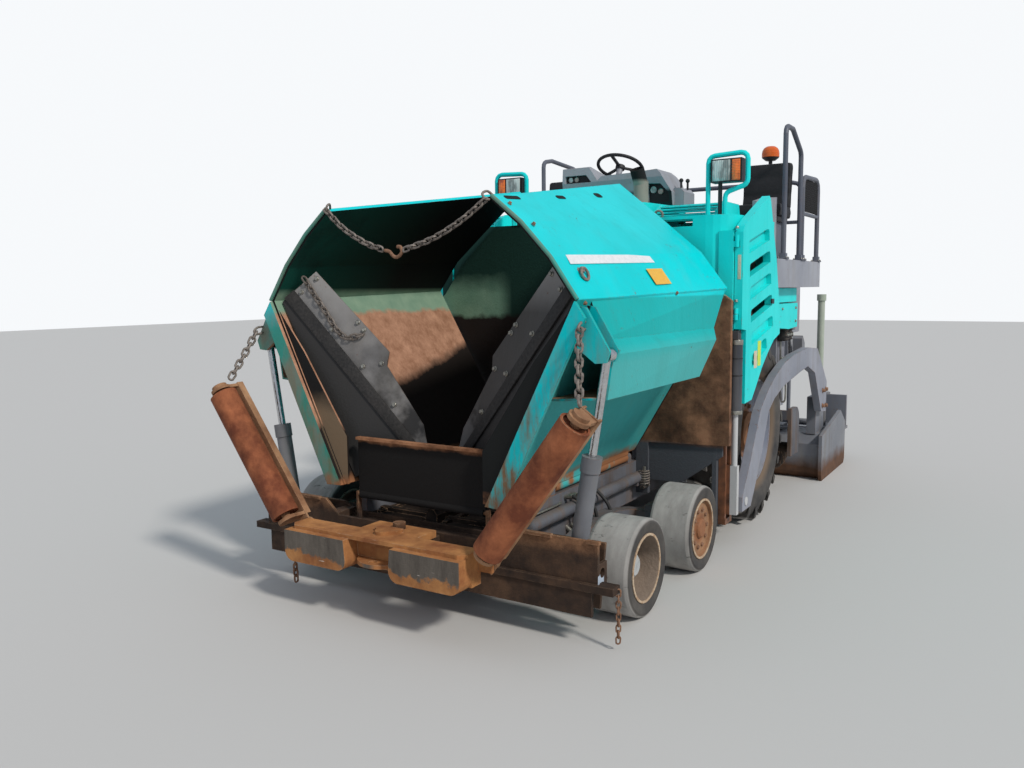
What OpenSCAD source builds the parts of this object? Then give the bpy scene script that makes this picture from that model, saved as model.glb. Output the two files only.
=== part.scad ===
// Wheeled asphalt paver, parked with the hopper folded and the screed down.
// The front faces -Y, the machine's left side is +X, and the ground is Z = 0.

/* [Overall] */
// Width over the doors and the tow arms
overall_w = 2550; // [2500:10:2600]
// Length from the bumper pads to the folded rear step
overall_l = 6140; // [6120:10:6200]

/* [Front wheels] */
// Diameter of a solid front tyre
front_tyre_d = 540; // [520:5:560]
// Width of a front tyre
front_tyre_w = 270; // [250:5:280]
// Diameter of the rim where the front tyre sits
front_rim_d = 380; // [370:5:390]
// Outer face of a front tyre, from the middle plane
front_face_x = 1200; // [1195:1:1205]
// First front axle, ahead of the machine's middle
axle_1 = 2150; // [2140:1:2155]
// Distance between the two front axles
bogie_base = 885; // [860:5:900]
// Kingpin axis, from the middle plane
kingpin_x = 860; // [855:1:865]
// Radius of a kingpin
kingpin_r = 30; // [25:1:34]
// Radius of a front stub axle
stub_r = 32; // [28:1:36]

/* [Rear wheels] */
// Diameter of a rear tyre
rear_tyre_d = 1365; // [1340:5:1375]
// Width of a rear tyre
rear_tyre_w = 375; // [360:5:380]
// Diameter of the rear rim
rear_rim_d = 800; // [780:10:820]
// Outer face of a rear tyre, from the middle plane
rear_face_x = 1150; // [1140:1:1155]
// Rear axle, behind the machine's middle
rear_axle = 120; // [100:5:130]
// Radius of the rear wheel spindle
spindle_r = 70; // [60:1:80]

/* [Hopper] */
// Wing hinge line, from the middle plane
hinge_x = 500; // [495:1:505]
// Height of the wing hinge line
hinge_z = 600; // [596:1:604]
// Radius of the wing hinge pin
hinge_r = 15; // [12:1:18]
// Thickness of the wing plates
wing_t = 20; // [14:1:24]
// Front edge of the wings, ahead of the middle
wing_front = 2680; // [2670:1:2690]
// Rear edge of the wings, ahead of the middle
wing_rear = 820; // [815:1:840]
// Thickness of the hopper's rear wall
bulkhead_t = 40; // [20:1:45]
// Height of the front apron
apron_h = 340; // [300:5:345]

/* [Front end] */
// Half of the crossbar's length
crossbar_half = 600; // [590:1:605]
// Height of the crossbar's top
crossbar_top = 480; // [470:1:485]
// Height of the crossbar
crossbar_h = 180; // [150:5:190]
// Radius of a push roller
roller_r = 80; // [70:1:82]
// Length of a push roller
roller_l = 830; // [780:5:840]
// Folded angle of the roller arms above level
arm_angle = 54; // [50:1:58]
// Radius of the crossbar's pivot pin
pivot_r = 35; // [30:1:40]

/* [Body] */
// Outer face of the hood's side, from the middle plane
hood_x = 1190; // [1180:1:1190]
// Front face of the hood, ahead of the middle
hood_front = 750; // [745:1:755]
// Rear face of the hood, behind the middle
hood_rear = 230; // [225:1:235]
// Height of the hood's shoulder
hood_z = 2260; // [2240:5:2280]
// Wall thickness of the hood
hood_t = 30; // [15:1:35]
// Thickness of a louvred door
door_t = 55; // [45:1:58]
// Height of the platform's deck
deck_z = 1990; // [1980:5:2000]
// Rear edge of the platform, behind the middle
deck_rear = 1650; // [1600:10:1700]

/* [Paving gear] */
// Diameter of the augers
auger_d = 400; // [360:10:420]
// Auger axis, behind the middle
auger_y = 1400; // [1390:5:1410]
// Height of the auger axis
auger_z = 340; // [330:5:350]
// Pitch of the auger flights
auger_pitch = 300; // [260:10:340]
// Tow point, ahead of the middle
tow_y = 560; // [555:1:565]
// Height of the tow point
tow_z = 300; // [295:1:305]
// Thickness of a tow arm
tow_t = 60; // [40:1:70]
// Front face of the main screed, behind the middle
screed_front = 1720; // [1710:5:1730]
// Depth of the main screed
screed_d = 450; // [430:5:460]
// Depth of the screed extensions
extension_d = 380; // [360:5:400]

/* [Hidden] */
$fn = 48;

green = "#12a895";
dark_green = "#0c7a6c";
frame_grey = "#6d7480";
rust = "#8a4a26";
dark = "#26262a";
tyre_grey = "#5c5c5c";
steel = "#b9bcc0";
black = "#141414";

// Running clearance of a pin in its bore, and between faces that slide
pin_gap = 0.06;
face_gap = 0.3;
half_l = overall_l / 2;
half_w = overall_w / 2;

function unit(v) = v / norm(v);
function arc_points(cx, cy, r, a0, a1, n) =
    [for (i = [0:n]) [cx + r * cos(a0 + (a1 - a0) * i / n), cy + r * sin(a0 + (a1 - a0) * i / n)]];
function reversed(list) = [for (i = [len(list) - 1:-1:0]) list[i]];

// Points of a round bend of radius r at corner b
function bend_points(a, b, c, r, n) =
    let (u = unit(a - b), w = unit(c - b), half = acos(u * w) / 2, turn = 180 - 2 * half,
         middle = b + unit(u + w) * r / sin(half),
         start = b + u * r / tan(half) - middle, end = b + w * r / tan(half) - middle)
    [for (i = [0:n])
        let (f = i / n) middle + (sin((1 - f) * turn) * start + sin(f * turn) * end) / sin(turn)];
function rounded_path(points, r, n = 5) = concat(
    [points[0]],
    [for (i = [1:len(points) - 2]) each bend_points(points[i - 1], points[i], points[i + 1], r, n)],
    [points[len(points) - 1]]);

// Outline of a bent plate of thickness t, from the path of one of its faces
function path_normal(p, q) = let (d = unit(q - p)) [-d[1], d[0]];
function offset_path(path, t) =
    [for (i = [0:len(path) - 1])
        let (n0 = path_normal(path[max(i - 1, 0)], path[max(i, 1)]),
             n1 = path_normal(path[min(i, len(path) - 2)], path[min(i + 1, len(path) - 1)]),
             m = unit(n0 + n1))
        path[i] + m * t / (m * n0)];
function plate_outline(path, t) = concat(offset_path(path, t), reversed(path));

// Solid through rings of equally many points, clockwise when seen along the way it runs.
// The second half of a ring is cut the other way, so that both faces of a plate bend alike.
module skin_rings(rings) {
    n = len(rings[0]);
    last = len(rings) - 1;
    end = last * n;
    polyhedron(
        points = [for (ring = rings) each ring],
        faces = concat(
            [for (k = [0:n / 2 - 2]) each [[k, k + 1, n - 1 - k], [k + 1, n - 2 - k, n - 1 - k]]],
            [for (k = [0:n / 2 - 2])
                each [[end + n - 1 - k, end + k + 1, end + k],
                      [end + n - 1 - k, end + n - 2 - k, end + k + 1]]],
            [for (i = [0:last - 1]) for (k = [0:n - 1])
                let (a = i * n + k, b = i * n + (k + 1) % n) each k < n / 2
                    ? [[a, a + n, b], [b, a + n, b + n]]
                    : [[a, a + n, b + n], [a, b + n, b]]]));
}

// Round tube swept along a path that lies in the plane with normal side
module tube(path, r, side, sides = 10) {
    last = len(path) - 1;
    skin_rings([for (i = [0:last])
        let (t = unit(path[min(i + 1, last)] - path[max(i - 1, 0)]), v = cross(t, side))
        [for (k = [0:sides - 1])
            path[i] + r * (cos(360 * k / sides) * side + sin(360 * k / sides) * v)]]);
}

module box(low, high) {
    translate(low) cube(high - low);
}
module side_profile(points, x0, x1) {
    translate([x0, 0, 0]) rotate([90, 0, 90]) linear_extrude(x1 - x0) polygon(points);
}
module front_profile(points, y0, y1) {
    translate([0, y1, 0]) rotate([90, 0, 0]) linear_extrude(y1 - y0) polygon(points);
}
module rod_x(x0, x1, y, z, r) {
    translate([x0, y, z]) rotate([0, 90, 0]) cylinder(h = x1 - x0, r = r);
}
module rod_y(y0, y1, x, z, r) {
    translate([x, y0, z]) rotate([-90, 0, 0]) cylinder(h = y1 - y0, r = r);
}
module rod_z(z0, z1, x, y, r) {
    translate([x, y, z0]) cylinder(h = z1 - z0, r = r);
}
// A child that stands once on each side of the middle plane
module both_sides() {
    children();
    mirror([1, 0, 0]) children();
}
module on_side(side) {
    if (side > 0) children();
    else mirror([1, 0, 0]) children();
}

// Chassis
frame_out = 530;
frame_in = 475;
frame_low = 300;
frame_top = 560;
frame_front = -2520;
frame_rear = 1180;
tunnel_top = 960;
hinge_ears = [-2480, -2000, -1450, -900];
ear_l = 60;

module main_frame() {
    color(frame_grey) {
        both_sides() {
            box([frame_in, frame_front, frame_low], [frame_out, hood_y, frame_top]);
            box([frame_in, hood_y, frame_low], [frame_out, frame_rear, tunnel_top]);
            // Pin that the wing turns on, and the ears that hold it
            rod_y(hinge_ears[0] - ear_l, hinge_ears[3] + ear_l / 2, hinge_x, hinge_z, hinge_r);
            for (y = hinge_ears) {
                box([hinge_x - 25, y - ear_l / 2, frame_top - 5],
                    [hinge_x + 25, y + ear_l / 2, hinge_z]);
                rod_y(y - ear_l / 2, y + ear_l / 2, hinge_x, hinge_z, 25);
            }
            // Grey cross tube ends and hose rail beside the bogie
            rod_y(frame_front + 60, -hood_front - 80, frame_out + 45, 460, 38);
            box([frame_out - 1, -hood_front - 160, 400], [frame_out + 60, -hood_front - 120, 480]);
            box([frame_out - 1, frame_front + 40, 400], [frame_out + 60, frame_front + 80, 480]);
        }
        // Belly plate and cross members
        box([-frame_out, frame_front, frame_low - 20], [frame_out, frame_rear, frame_low]);
        box([-frame_out, hood_y, tunnel_top], [frame_out, frame_rear, tunnel_top + 20]);
    }
}
hood_y = -hood_front;

conveyor_z = 440;
slat_step = 240;
module conveyor() {
    color(dark) {
        box([-frame_in + face_gap, frame_front + 20, conveyor_z - 25],
            [frame_in - face_gap, frame_rear - 2, conveyor_z]);
        // Cover over the middle chains
        front_profile([[-40, conveyor_z - 1], [40, conveyor_z - 1], [40, conveyor_z + 50],
                       [15, conveyor_z + 80], [-15, conveyor_z + 80], [-40, conveyor_z + 50]],
                      frame_front + 20, frame_rear - 2);
        both_sides() {
            for (y = [frame_front + 120:slat_step:frame_rear - 30])
                box([39, y - 20, conveyor_z - 1], [frame_in - 20, y + 20, conveyor_z + 25]);
            // Strands of the drag chains
            for (x = [60, frame_in - 75])
                box([x, frame_front + 40, conveyor_z - 1], [x + 30, frame_rear - 20, conveyor_z + 17]);
        }
    }
}

// Cross beam ahead of the front wheels, which carries the wing cylinders and the crossbar
beam_front = -2680;
beam_rear = -2520;
cylinder_x = 1000;
cylinder_z = 400;
cylinder_y = -2600;
cylinder_pin_r = 25;
pivot_y = -2790;
apron_y = -2600;
apron_z = 580;
apron_half = 450;
apron_pin_r = 12;
module front_beam() {
    color(rust) {
        // Front and rear plates of the beam
        front_profile([[-1160, 330], [-1160, 545], [-660, 545], [-560, 455], [560, 455], [660, 545],
                       [1160, 545], [1160, 330]], beam_front, beam_front + 18);
        front_profile([[-1100, 150], [-1130, 500], [-640, 500], [-560, 455], [560, 455], [640, 500],
                       [1130, 500], [1100, 150]], beam_rear - 18, beam_rear);
        box([-560, beam_front, frame_low], [560, beam_rear, 425]);
        // Flanges along the top of the beam's two ends
        both_sides() {
            box([700, beam_front - 12, 533], [900, beam_front + 12, 551]);
            box([1100, beam_front - 12, 533], [1170, beam_front + 12, 551]);
        }
        // Angle bar and lower plate
        box([-1250, beam_front - 20, 290], [1250, beam_front + 60, 330]);
        box([-1130, beam_front - 10, 160], [1130, beam_front + 10, 291]);
        both_sides() {
            rod_y(beam_front + 10, beam_rear - 10, cylinder_x, cylinder_z, cylinder_pin_r);
            box([560, beam_front, 290], [640, beam_rear, 470]);
            // Hook for the transport chain
            difference() {
                box([1135, beam_front + 17, 290], [1155, -2570, 425]);
                rod_x(1130, 1160, -2620, 375, 25);
            }
        }
        // Ears and pin of the apron
        both_sides()
            box([apron_half + 5, apron_y - 14, 415], [apron_half + 21, apron_y + 14, apron_z + 18]);
        rod_x(-apron_half - 6, apron_half + 6, apron_y, apron_z, apron_pin_r);
        // Tongue and pin that the crossbar turns on
        box([-190, pivot_y - 60, 400], [190, beam_front + 1, 440]);
        rod_z(330, crossbar_top + 35, 0, pivot_y, pivot_r);
    }
}

// Hopper rear wall and the plates under it: half of its outline, columns x, z
bulkhead_half = [[620, 330], [620, 700], [half_w - 75, 720], [half_w - 75, 1690], [1125, 1745],
                 [955, 1975], [665, 2235], [400, 2240], [370, 2400]];
function mirrored_x(points) = [for (p = points) [-p[0], p[1]]];
module bulkhead() {
    y0 = -wing_rear + 20;
    y1 = y0 + bulkhead_t;
    color(rust) {
        difference() {
            front_profile(concat(mirrored_x(bulkhead_half), reversed(bulkhead_half)), y0, y1);
            box([-frame_out - face_gap, y0 - 1, 300],
                [frame_out + face_gap, y1 + 1, tunnel_top + 20 + face_gap]);
        }
    }
    color(frame_grey)
        both_sides() {
            front_profile([[619, 430], [619, 721], [1150, 721], [1150, 640], [860, 430]], y1 - 20, y1);
            side_profile([[y1 - 21, 720], [y1 - 21, 160], [y1 + 35, 160], [y1 + 65, 720]], 1080, 1110);
        }
}

// Bogie beams that carry the kingpins, and the rear spindles
bogie_y = -axle_1 + bogie_base / 2;
front_z = front_tyre_d / 2;
rear_z = rear_tyre_d / 2;
boss_half = 80;
function front_axle_y(i) = -axle_1 + i * bogie_base;
module axles() {
    color(frame_grey)
        both_sides() {
            // Bogie beam and its pivot on the frame
            side_profile([[-axle_1 - 70, 200], [-axle_1 - 70, 330], [bogie_y - 120, 400],
                          [bogie_y + 120, 400], [front_axle_y(1) + 70, 330],
                          [front_axle_y(1) + 70, 200]], 650, 750);
            rod_x(frame_out, 651, bogie_y, 350, 60);
            for (i = [0:1])
                difference() {
                    union() {
                        box([749, front_axle_y(i) - 50, front_z - boss_half + 5],
                            [kingpin_x, front_axle_y(i) + 50, front_z + boss_half - 5]);
                        rod_z(front_z - boss_half, front_z + boss_half, kingpin_x,
                              front_axle_y(i), 55);
                    }
                    rod_z(front_z - boss_half - 1, front_z + boss_half + 1, kingpin_x,
                          front_axle_y(i), kingpin_r + pin_gap);
                }
            // Rear final drive and spindle
            rod_x(frame_out, rear_face_x - 260, rear_axle, rear_z, 210);
            rod_x(rear_face_x - 261, rear_face_x - 130, rear_axle, rear_z, spindle_r);
        }
}

knuckle_top = 35;
hub_x = front_face_x - 175;
module knuckle(i, side) {
    y = front_axle_y(i);
    color(frame_grey)
        on_side(side) {
            rod_z(front_z - boss_half - knuckle_top, front_z + boss_half + knuckle_top,
                  kingpin_x, y, kingpin_r);
            for (z = [front_z - boss_half - knuckle_top, front_z + boss_half + face_gap])
                box([kingpin_x - 45, y - 50, z],
                    [kingpin_x + 70, y + 50, z + knuckle_top - face_gap]);
            box([kingpin_x + 58, y - 50, front_z - boss_half - knuckle_top],
                [kingpin_x + 80, y + 50, front_z + boss_half + knuckle_top]);
            rod_x(kingpin_x + 79, hub_x + 60, y, front_z, stub_r);
        }
}

module front_tyre(i, side) {
    w = front_tyre_w;
    r = front_tyre_d / 2;
    ri = front_rim_d / 2;
    color(tyre_grey)
        on_side(side)
            translate([front_face_x - w, front_axle_y(i), front_z]) rotate([0, 90, 0])
                rotate_extrude()
                    polygon([[ri, 12], [r - 24, 0], [r - 6, 8], [r, 24], [r, w - 24], [r - 6, w - 8],
                             [r - 24, w], [ri, w - 12]]);
}

// The first axle's rims are dished deep, the second's are closed near the outer face
dish_depth = [150, 30];
hub_height = [80, 22];
module front_rim(i, side) {
    w = front_tyre_w;
    ri = front_rim_d / 2;
    disc = w - dish_depth[i];
    hub_in = hub_x - 45 - (front_face_x - w);
    color(frame_grey)
        on_side(side)
            translate([front_face_x - w, front_axle_y(i), front_z]) rotate([0, 90, 0]) {
                rotate_extrude()
                    polygon([[ri - 14, 6], [ri - face_gap, 6], [ri - face_gap, w - 6],
                             [ri - 14, w - 6], [ri - 14, disc], [stub_r + 34, disc],
                             [stub_r + 30, disc + hub_height[i] - 10],
                             [stub_r + 18, disc + hub_height[i]], [0, disc + hub_height[i]],
                             [0, w - 110], [stub_r + pin_gap, w - 110],
                             [stub_r + pin_gap, hub_in], [stub_r + 40, hub_in],
                             [stub_r + 40, disc - 20], [ri - 14, disc - 20]]);
            }
}

module rear_tyre(side) {
    w = rear_tyre_w;
    r = rear_tyre_d / 2;
    ri = rear_rim_d / 2;
    color(tyre_grey)
        on_side(side)
            translate([rear_face_x - w, rear_axle, rear_z]) rotate([0, 90, 0])
                rotate_extrude($fn = 96)
                    polygon([[ri, 40], [ri + 30, 22], [ri + 110, 2], [ri + 160, 0], [r - 60, 14],
                             [r - 20, 30], [r, 60], [r, w - 60], [r - 20, w - 30], [r - 60, w - 14],
                             [ri + 160, w], [ri + 110, w - 2], [ri + 30, w - 22], [ri, w - 40]]);
}
module rear_rim(side) {
    w = rear_tyre_w;
    ri = rear_rim_d / 2 - face_gap;
    disc = w - 130;
    color(frame_grey)
        on_side(side)
            translate([rear_face_x - w, rear_axle, rear_z]) rotate([0, 90, 0])
                rotate_extrude($fn = 96)
                    polygon([[ri - 20, 40], [ri, 40], [ri, w - 40], [ri - 20, w - 40],
                             [ri - 30, disc + 60], [ri - 70, disc], [150, disc], [140, disc + 40],
                             [90, disc + 50], [spindle_r + pin_gap, disc + 50],
                             [spindle_r + pin_gap, disc - 90], [120, disc - 90], [130, disc - 25],
                             [ri - 80, disc - 25], [ri - 50, disc + 20]]);
}

// Engine block with the radiators behind the louvred doors, on one cross beam
module engine() {
    color(frame_grey) {
        box([-420, -560, tunnel_top + 20 + hood_t], [420, 120, 1900]);
        box([-half_w + 261, -300, 1500], [half_w - 261, -220, 1560]);
    }
    color(rust)
        both_sides()
            box([half_w - 265, -560, 1480], [half_w - 175, 60, hood_z - hood_t - face_gap]);
}

arch_r = rear_tyre_d / 2 + 58;
arch_x = rear_face_x - rear_tyre_w - 30;
function hood_plan(inset) = concat(
    [[hood_x - inset, hood_rear - inset], [-hood_x + inset, hood_rear - inset]],
    arc_points(-hood_x + 190, hood_y + 190, 190 - inset, 180, 270, 6),
    arc_points(hood_x - 190, hood_y + 190, 190 - inset, 270, 360, 6));
door_hole = [[-600, 1120], [-600, 2080], [-150, 2230], [100, 2230], [150, 1520], [-150, 1420],
             [-400, 1180]];
door_x = half_w - 25 - door_t;
// Hinge line of the louvred doors, on a post at the hood's front corner
door_hinge_x = door_x + 17;
door_hinge_y = -hood_front + 13;
door_pin_r = 8;
door_hinges = [1560, 2040];
door_lug = 40;
exhaust_z = 2405;
exhaust_x = 338;
door_post_z = 1490;
grille_y = hood_y + 120;
slat_section = [[0, 0], [60, 14], [60, 22], [-4, 8]];
module hood() {
    z0 = tunnel_top + 20;
    color(green) {
        both_sides() {
            box([1090, hood_y + 5, door_post_z], [hood_x, hood_y + 60, 2150]);
            for (z = door_hinges) {
                box([hood_x - 1, door_hinge_y - 8, z], [door_hinge_x, door_hinge_y + 8, z + door_lug]);
                rod_z(z, z + door_lug, door_hinge_x, door_hinge_y, 14);
                rod_z(z + 10, z + 2 * door_lug, door_hinge_x, door_hinge_y, door_pin_r);
            }
        }
        difference() {
            translate([0, 0, z0]) linear_extrude(hood_z - z0) polygon(hood_plan(0));
            difference() {
                translate([0, 0, z0 + hood_t]) linear_extrude(hood_z - z0 - 2 * hood_t)
                    polygon(hood_plan(hood_t));
                both_sides()
                    rod_x(arch_x - hood_t, hood_x + 10, rear_axle, rear_z, arch_r + hood_t);
            }
            both_sides() {
                rod_x(arch_x, hood_x + 20, rear_axle, rear_z, arch_r);
                side_profile(door_hole, hood_x - hood_t - 20, hood_x + 20);
            }
            // Openings for the intake, under the slats and in the front face below them
            box([-980, grille_y + 30, hood_z - hood_t - 1], [-800, grille_y + 480, hood_z + 1]);
            box([600, grille_y + 30, hood_z - hood_t - 1], [980, grille_y + 480, hood_z + 1]);
            box([680, hood_y - 1, 2190], [910, hood_y + hood_t + 1, 2238]);
        }
        // Collar of the exhaust
        rod_z(2370, exhaust_z, exhaust_x, -300, 78);
        // Raised top with its long slats
        side_profile([[hood_y + 20, hood_z - 1], [hood_y + 40, hood_z + 60], [hood_y + 90, 2380],
                      [hood_rear - 120, 2400], [hood_rear - 60, hood_z - 1]], -400, 520);
        // Grilles of long slats, each a step higher and further back, between two cheeks
        for (span = [[560, 1030], [-1030, -760]]) {
            for (x = [span[0], span[1] - 14])
                side_profile([[grille_y, hood_z - 1], [grille_y + 20, 2300], [grille_y + 170, 2372],
                              [grille_y + 500, 2372], [grille_y + 540, hood_z - 1]], x, x + 14);
            for (k = [0:3])
                side_profile([for (p = slat_section)
                              [grille_y + 22 + 40 * k + p[0], 2272 + 24 * k + p[1]]],
                             span[0] + 5, span[1] - 5);
            box([span[0] + 5, grille_y + 175, 2350], [span[1] - 5, grille_y + 490, 2364]);
        }
    }
}

// Louvred engine door: outline with the wheel arch, and six slanted louvres
door_outline = [[-725, 1500], [-725, 2140], [-700, 2180], [-610, 2225], [-130, 2420], [-95, 2400],
                [90, 1980], [190, 1660], [220, 1500], [220, 1425], [60, 1385], [-90, 1300],
                [-240, 1200], [-360, 1090], [-470, 1000], [-630, 990], [-630, 1490]];
louvre_rows = [0:5];
louvre_step = 155;
function louvre(i) =
    let (z = 2085 - i * louvre_step, y0 = -590 + i * 22, y1 = i == 5 ? -120 : -105 + i * 34)
    [[y0, z - 85], [y1, z + 25], [y1 - 12, z + 88], [y1 - 30, z + 100], [y1 - 80, z + 96],
     [y0 + 15, z + 4], [y0, z - 10]];
module louvre_door(side) {
    color(green)
        on_side(side)
            difference() {
                union() {
                    side_profile(door_outline, door_x, door_x + door_t);
                    for (z = door_hinges)
                        rod_z(z + door_lug + face_gap, z + 2 * door_lug, door_hinge_x,
                              door_hinge_y, 14);
                }
                for (i = louvre_rows)
                    side_profile(louvre(i), i == 1 || i == 3 ? door_x - 1 : door_x + 20,
                                 door_x + door_t + 1);
                for (z = door_hinges) {
                    rod_z(z - 2, z + 3 * door_lug, door_hinge_x, door_hinge_y,
                          door_pin_r + pin_gap);
                    box([door_x - 1, hood_y + 20, z - 2],
                        [door_hinge_x + 16, hood_y + 30, z + door_lug]);
                }
            }
}

module exhaust() {
    color(dark)
        difference() {
            union() {
                rod_z(exhaust_z + face_gap, 2570, exhaust_x, -300, 55);
                translate([exhaust_x, -300, 2545]) rotate([24, -6, 0]) cylinder(h = 125, r = 53);
            }
            translate([exhaust_x, -300, 2545]) rotate([24, -6, 0])
                translate([0, 0, 45]) cylinder(h = 120, r = 47);
        }
}

// Front lamps with their indicators, and the round beacon. The left lamp stands at the hood's
// corner and the right one nearer the middle.
lamp_y = -700;
lamp_out = [half_w - 20, 705];
beacon_y = 1130;
module lamps() {
    color(dark) {
        for (i = [0, 1])
            on_side(1 - 2 * i) translate([lamp_out[i], 0, 0]) {
                box([-238, lamp_y - 5, 2470], [-32, lamp_y + 85, 2622]);
                rod_z(hood_z + face_gap, 2471, -188, lamp_y + 40, 14);
            }
        rod_z(deck_z, 2850, 900, beacon_y, 16);
        translate([900, beacon_y, 2840])
            rotate_extrude()
                polygon([[0, 0], [40, 0], [68, 22], [72, 30], [72, 62], [68, 84], [56, 104], [36, 117],
                         [0, 122]]);
    }
}
module lamp_guards() {
    y = lamp_y + 30;
    color(green)
        for (i = [0, 1])
            on_side(1 - 2 * i) translate([lamp_out[i], 0, 0])
                tube(rounded_path([[-268, y, hood_z + face_gap], [-268, y, 2648], [0, y, 2660],
                                   [0, y, 2452], [-150, y, 2405], [-150, y, hood_z + face_gap]], 45, 3),
                     17, [0, 1, 0], 8);
}

platform_x = half_w - 60;
platform_low = 1360;
module platform() {
    color(frame_grey) {
        // Deck with its deep edge
        box([-platform_x, hood_rear + 5, deck_z - 220], [platform_x, deck_rear, deck_z]);
        // Tank and cabinets under the deck
        box([-1090, hood_rear + 5, arch_r + rear_z + 25], [1090, 1150, deck_z - 219]);
        box([-arch_x + 20, hood_rear + 5, tunnel_top + 20], [arch_x - 20, 1150, deck_z - 300]);
        both_sides() box([frame_out + face_gap, 880, 760], [1050, 1149, arch_r + rear_z + 26]);
        // Tall side panels and the rear wall
        both_sides()
            side_profile([[-40, hood_z + face_gap], [-40, 2400], [180, 2440], [hood_rear + 280, 2470],
                          [hood_rear + 280, deck_z - 1], [hood_rear + 8, deck_z - 1],
                          [hood_rear + 8, hood_z + face_gap]], 1100, 1130);
        box([-1000, deck_rear - 499, platform_low], [1000, deck_rear + 200, deck_z - 219]);
        both_sides() rod_x(999, lift_x + 27, lift_top_y, lift_top_z, lift_pin_r);
        // Steps down to the screed's walkway, and the housings of the rear lights
        y = deck_rear + 200;
        for (x = [-360, 348])
            side_profile([[y - 1, 1740], [y - 1, 1400], [y + 30, 1000], [y + 170, 1000],
                          [y + 170, 1090], [y + 40, 1740]], x, x + 12);
        for (z = [1020, 1240, 1460])
            box([-349, y + 22, z], [349, y + 150 - (z - 1020) * 0.15, z + 22]);
        both_sides() box([820, y - 1, 1640], [960, y + 34, 1720]);
    }
}

module side_boxes() {
    color(green)
        both_sides() {
            side_profile([[240, 1470], [240, 1640], [1090, 1640], [1090, 1440], [820, 1430]],
                         1090 + face_gap, 1165);
            box([1090 + face_gap, hood_rear + 20, 1650], [1140, 1150, deck_z - 225]);
        }
}

rail_x = half_w - 85;
module rails() {
    color(dark) {
        tube(rounded_path([[rail_x, 500, deck_z], [rail_x, 500, 3009], [rail_x, 700, 3009],
                           [rail_x, 980, 2860], [rail_x, 980, deck_z]], 60, 3), 20, [1, 0, 0]);
        tube(rounded_path([[rail_x, 1060, deck_z], [rail_x, 1060, 2680], [rail_x, 1600, 2700],
                           [rail_x, 1600, deck_z]], 90, 3), 20, [1, 0, 0]);
        rod_y(1060, 1600, rail_x, 2380, 16);
        // The tall hoop of the right side stands further back, with the lower one ahead of it
        tube(rounded_path([[-rail_x, 900, deck_z], [-rail_x, 900, 2980], [-rail_x, 1060, 3009],
                           [-rail_x, 1560, 2980], [-rail_x, 1560, deck_z]], 60, 3), 20, [1, 0, 0]);
        tube(rounded_path([[-rail_x, 330, deck_z], [-rail_x, 330, 2560], [-rail_x, 820, 2580],
                           [-rail_x, 820, deck_z]], 90, 3), 20, [1, 0, 0]);
        rod_y(330, 820, -rail_x, 2280, 16);
        tube(rounded_path([[-1050, deck_rear - 30, deck_z], [-1050, deck_rear - 30, 2700],
                           [1050, deck_rear - 30, 2700], [1050, deck_rear - 30, deck_z]], 80, 3),
             20, [0, 1, 0]);
        rod_x(-1040, 1040, deck_rear - 30, 2350, 16);
    }
}

seat_x = half_w - 315;
module seats() {
    color(black)
        both_sides() {
            side_profile([[516, 2330], [530, 2420], [870, 2400], [870, 2300]],
                         seat_x - 240, seat_x + 200);
            side_profile([[830, 2380], [905, 2780], [960, 2795], [975, 2745], [920, 2380]],
                         seat_x - 220, seat_x + 180);
            box([seat_x - 180, 550, deck_z], [seat_x + 140, 850, 2310]);
        }
}

// Console across the hood's rear edge: its front outline in columns x, z, its side in y, z
console_front = [[-506, deck_z], [-506, 2765], [-270, 2768], [-185, 2648], [-150, 2680], [120, 2688],
                 [325, 2700], [356, 2670], [442, 2521], [442, deck_z]];
console_side = [[hood_rear + 8, deck_z], [hood_rear + 8, 2410], [70, 2420], [20, 2640], [30, 2760],
                [70, 2770], [330, 2700], [420, 2620], [360, 2520], [350, deck_z]];
module console() {
    color(frame_grey) {
        difference() {
            intersection() {
                side_profile(console_side, -600, 600);
                front_profile(console_front, 0, 500);
            }
            front_profile([[246, 2450], [246, 2594], [354, 2588], [418, 2516], [418, 2450]], 0, 75);
            front_profile([[-480, 2640], [-480, 2700], [-290, 2700], [-240, 2640]], 0, 55);
        }
        front_profile([[436, 2405], [436, 2555], [492, 2552], [520, 2520], [520, 2405]], 110, 340);
        // Steering column
        translate([wheel_x, 360, 2610]) rotate([-25, 0, 0]) cylinder(h = 190, r = 25);
    }
}
wheel_x = -180;
module steering_wheel() {
    color(black)
        translate([wheel_x, 360, 2610]) rotate([-25, 0, 0]) translate([0, 0, 190 + face_gap]) {
            rotate_extrude() translate([190, 20]) circle(r = 14);
            cylinder(h = 30, r = 40);
            for (a = [30, 150, 270])
                rotate([0, 0, a]) translate([30, -12, 10]) cube([155, 24, 14]);
        }
}

// Levelling cylinders with the guides of the tow points
level_x = half_w - 70;
module levelling_cylinders() {
    y = hood_y + 60;
    color(dark)
        both_sides() {
            rod_z(930, 1420, level_x, y, 42);
            rod_z(1410, 1470, level_x, y, 30);
            rod_z(560, 931, level_x, y, 20);
            // Bracket on the hood's corner post
            box([1162, y - 35, 1430], [level_x + 20, y + 30, door_post_z - face_gap]);
            // Guide rails with their feet
            box([1112, y - 50, 160], [level_x - 45, y - 20, 920]);
            box([1112, y + 40, 160], [1165, y + 90, 900]);
            box([1112, y - 50, 160], [1165, y + 90, 200]);
            box([1112, y - 50, 880], [1165, y + 90, 920]);
            // Tow point slide and its pin
            box([1130, y - 22, 230], [1184, -tow_y + 45, 380]);
            box([1130, y - 22, 230], [level_x + 27, y + 22, 570]);
            rod_x(1183, tow_x + tow_t + 5, -tow_y, tow_z, tow_pin_r);
        }
}

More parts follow.
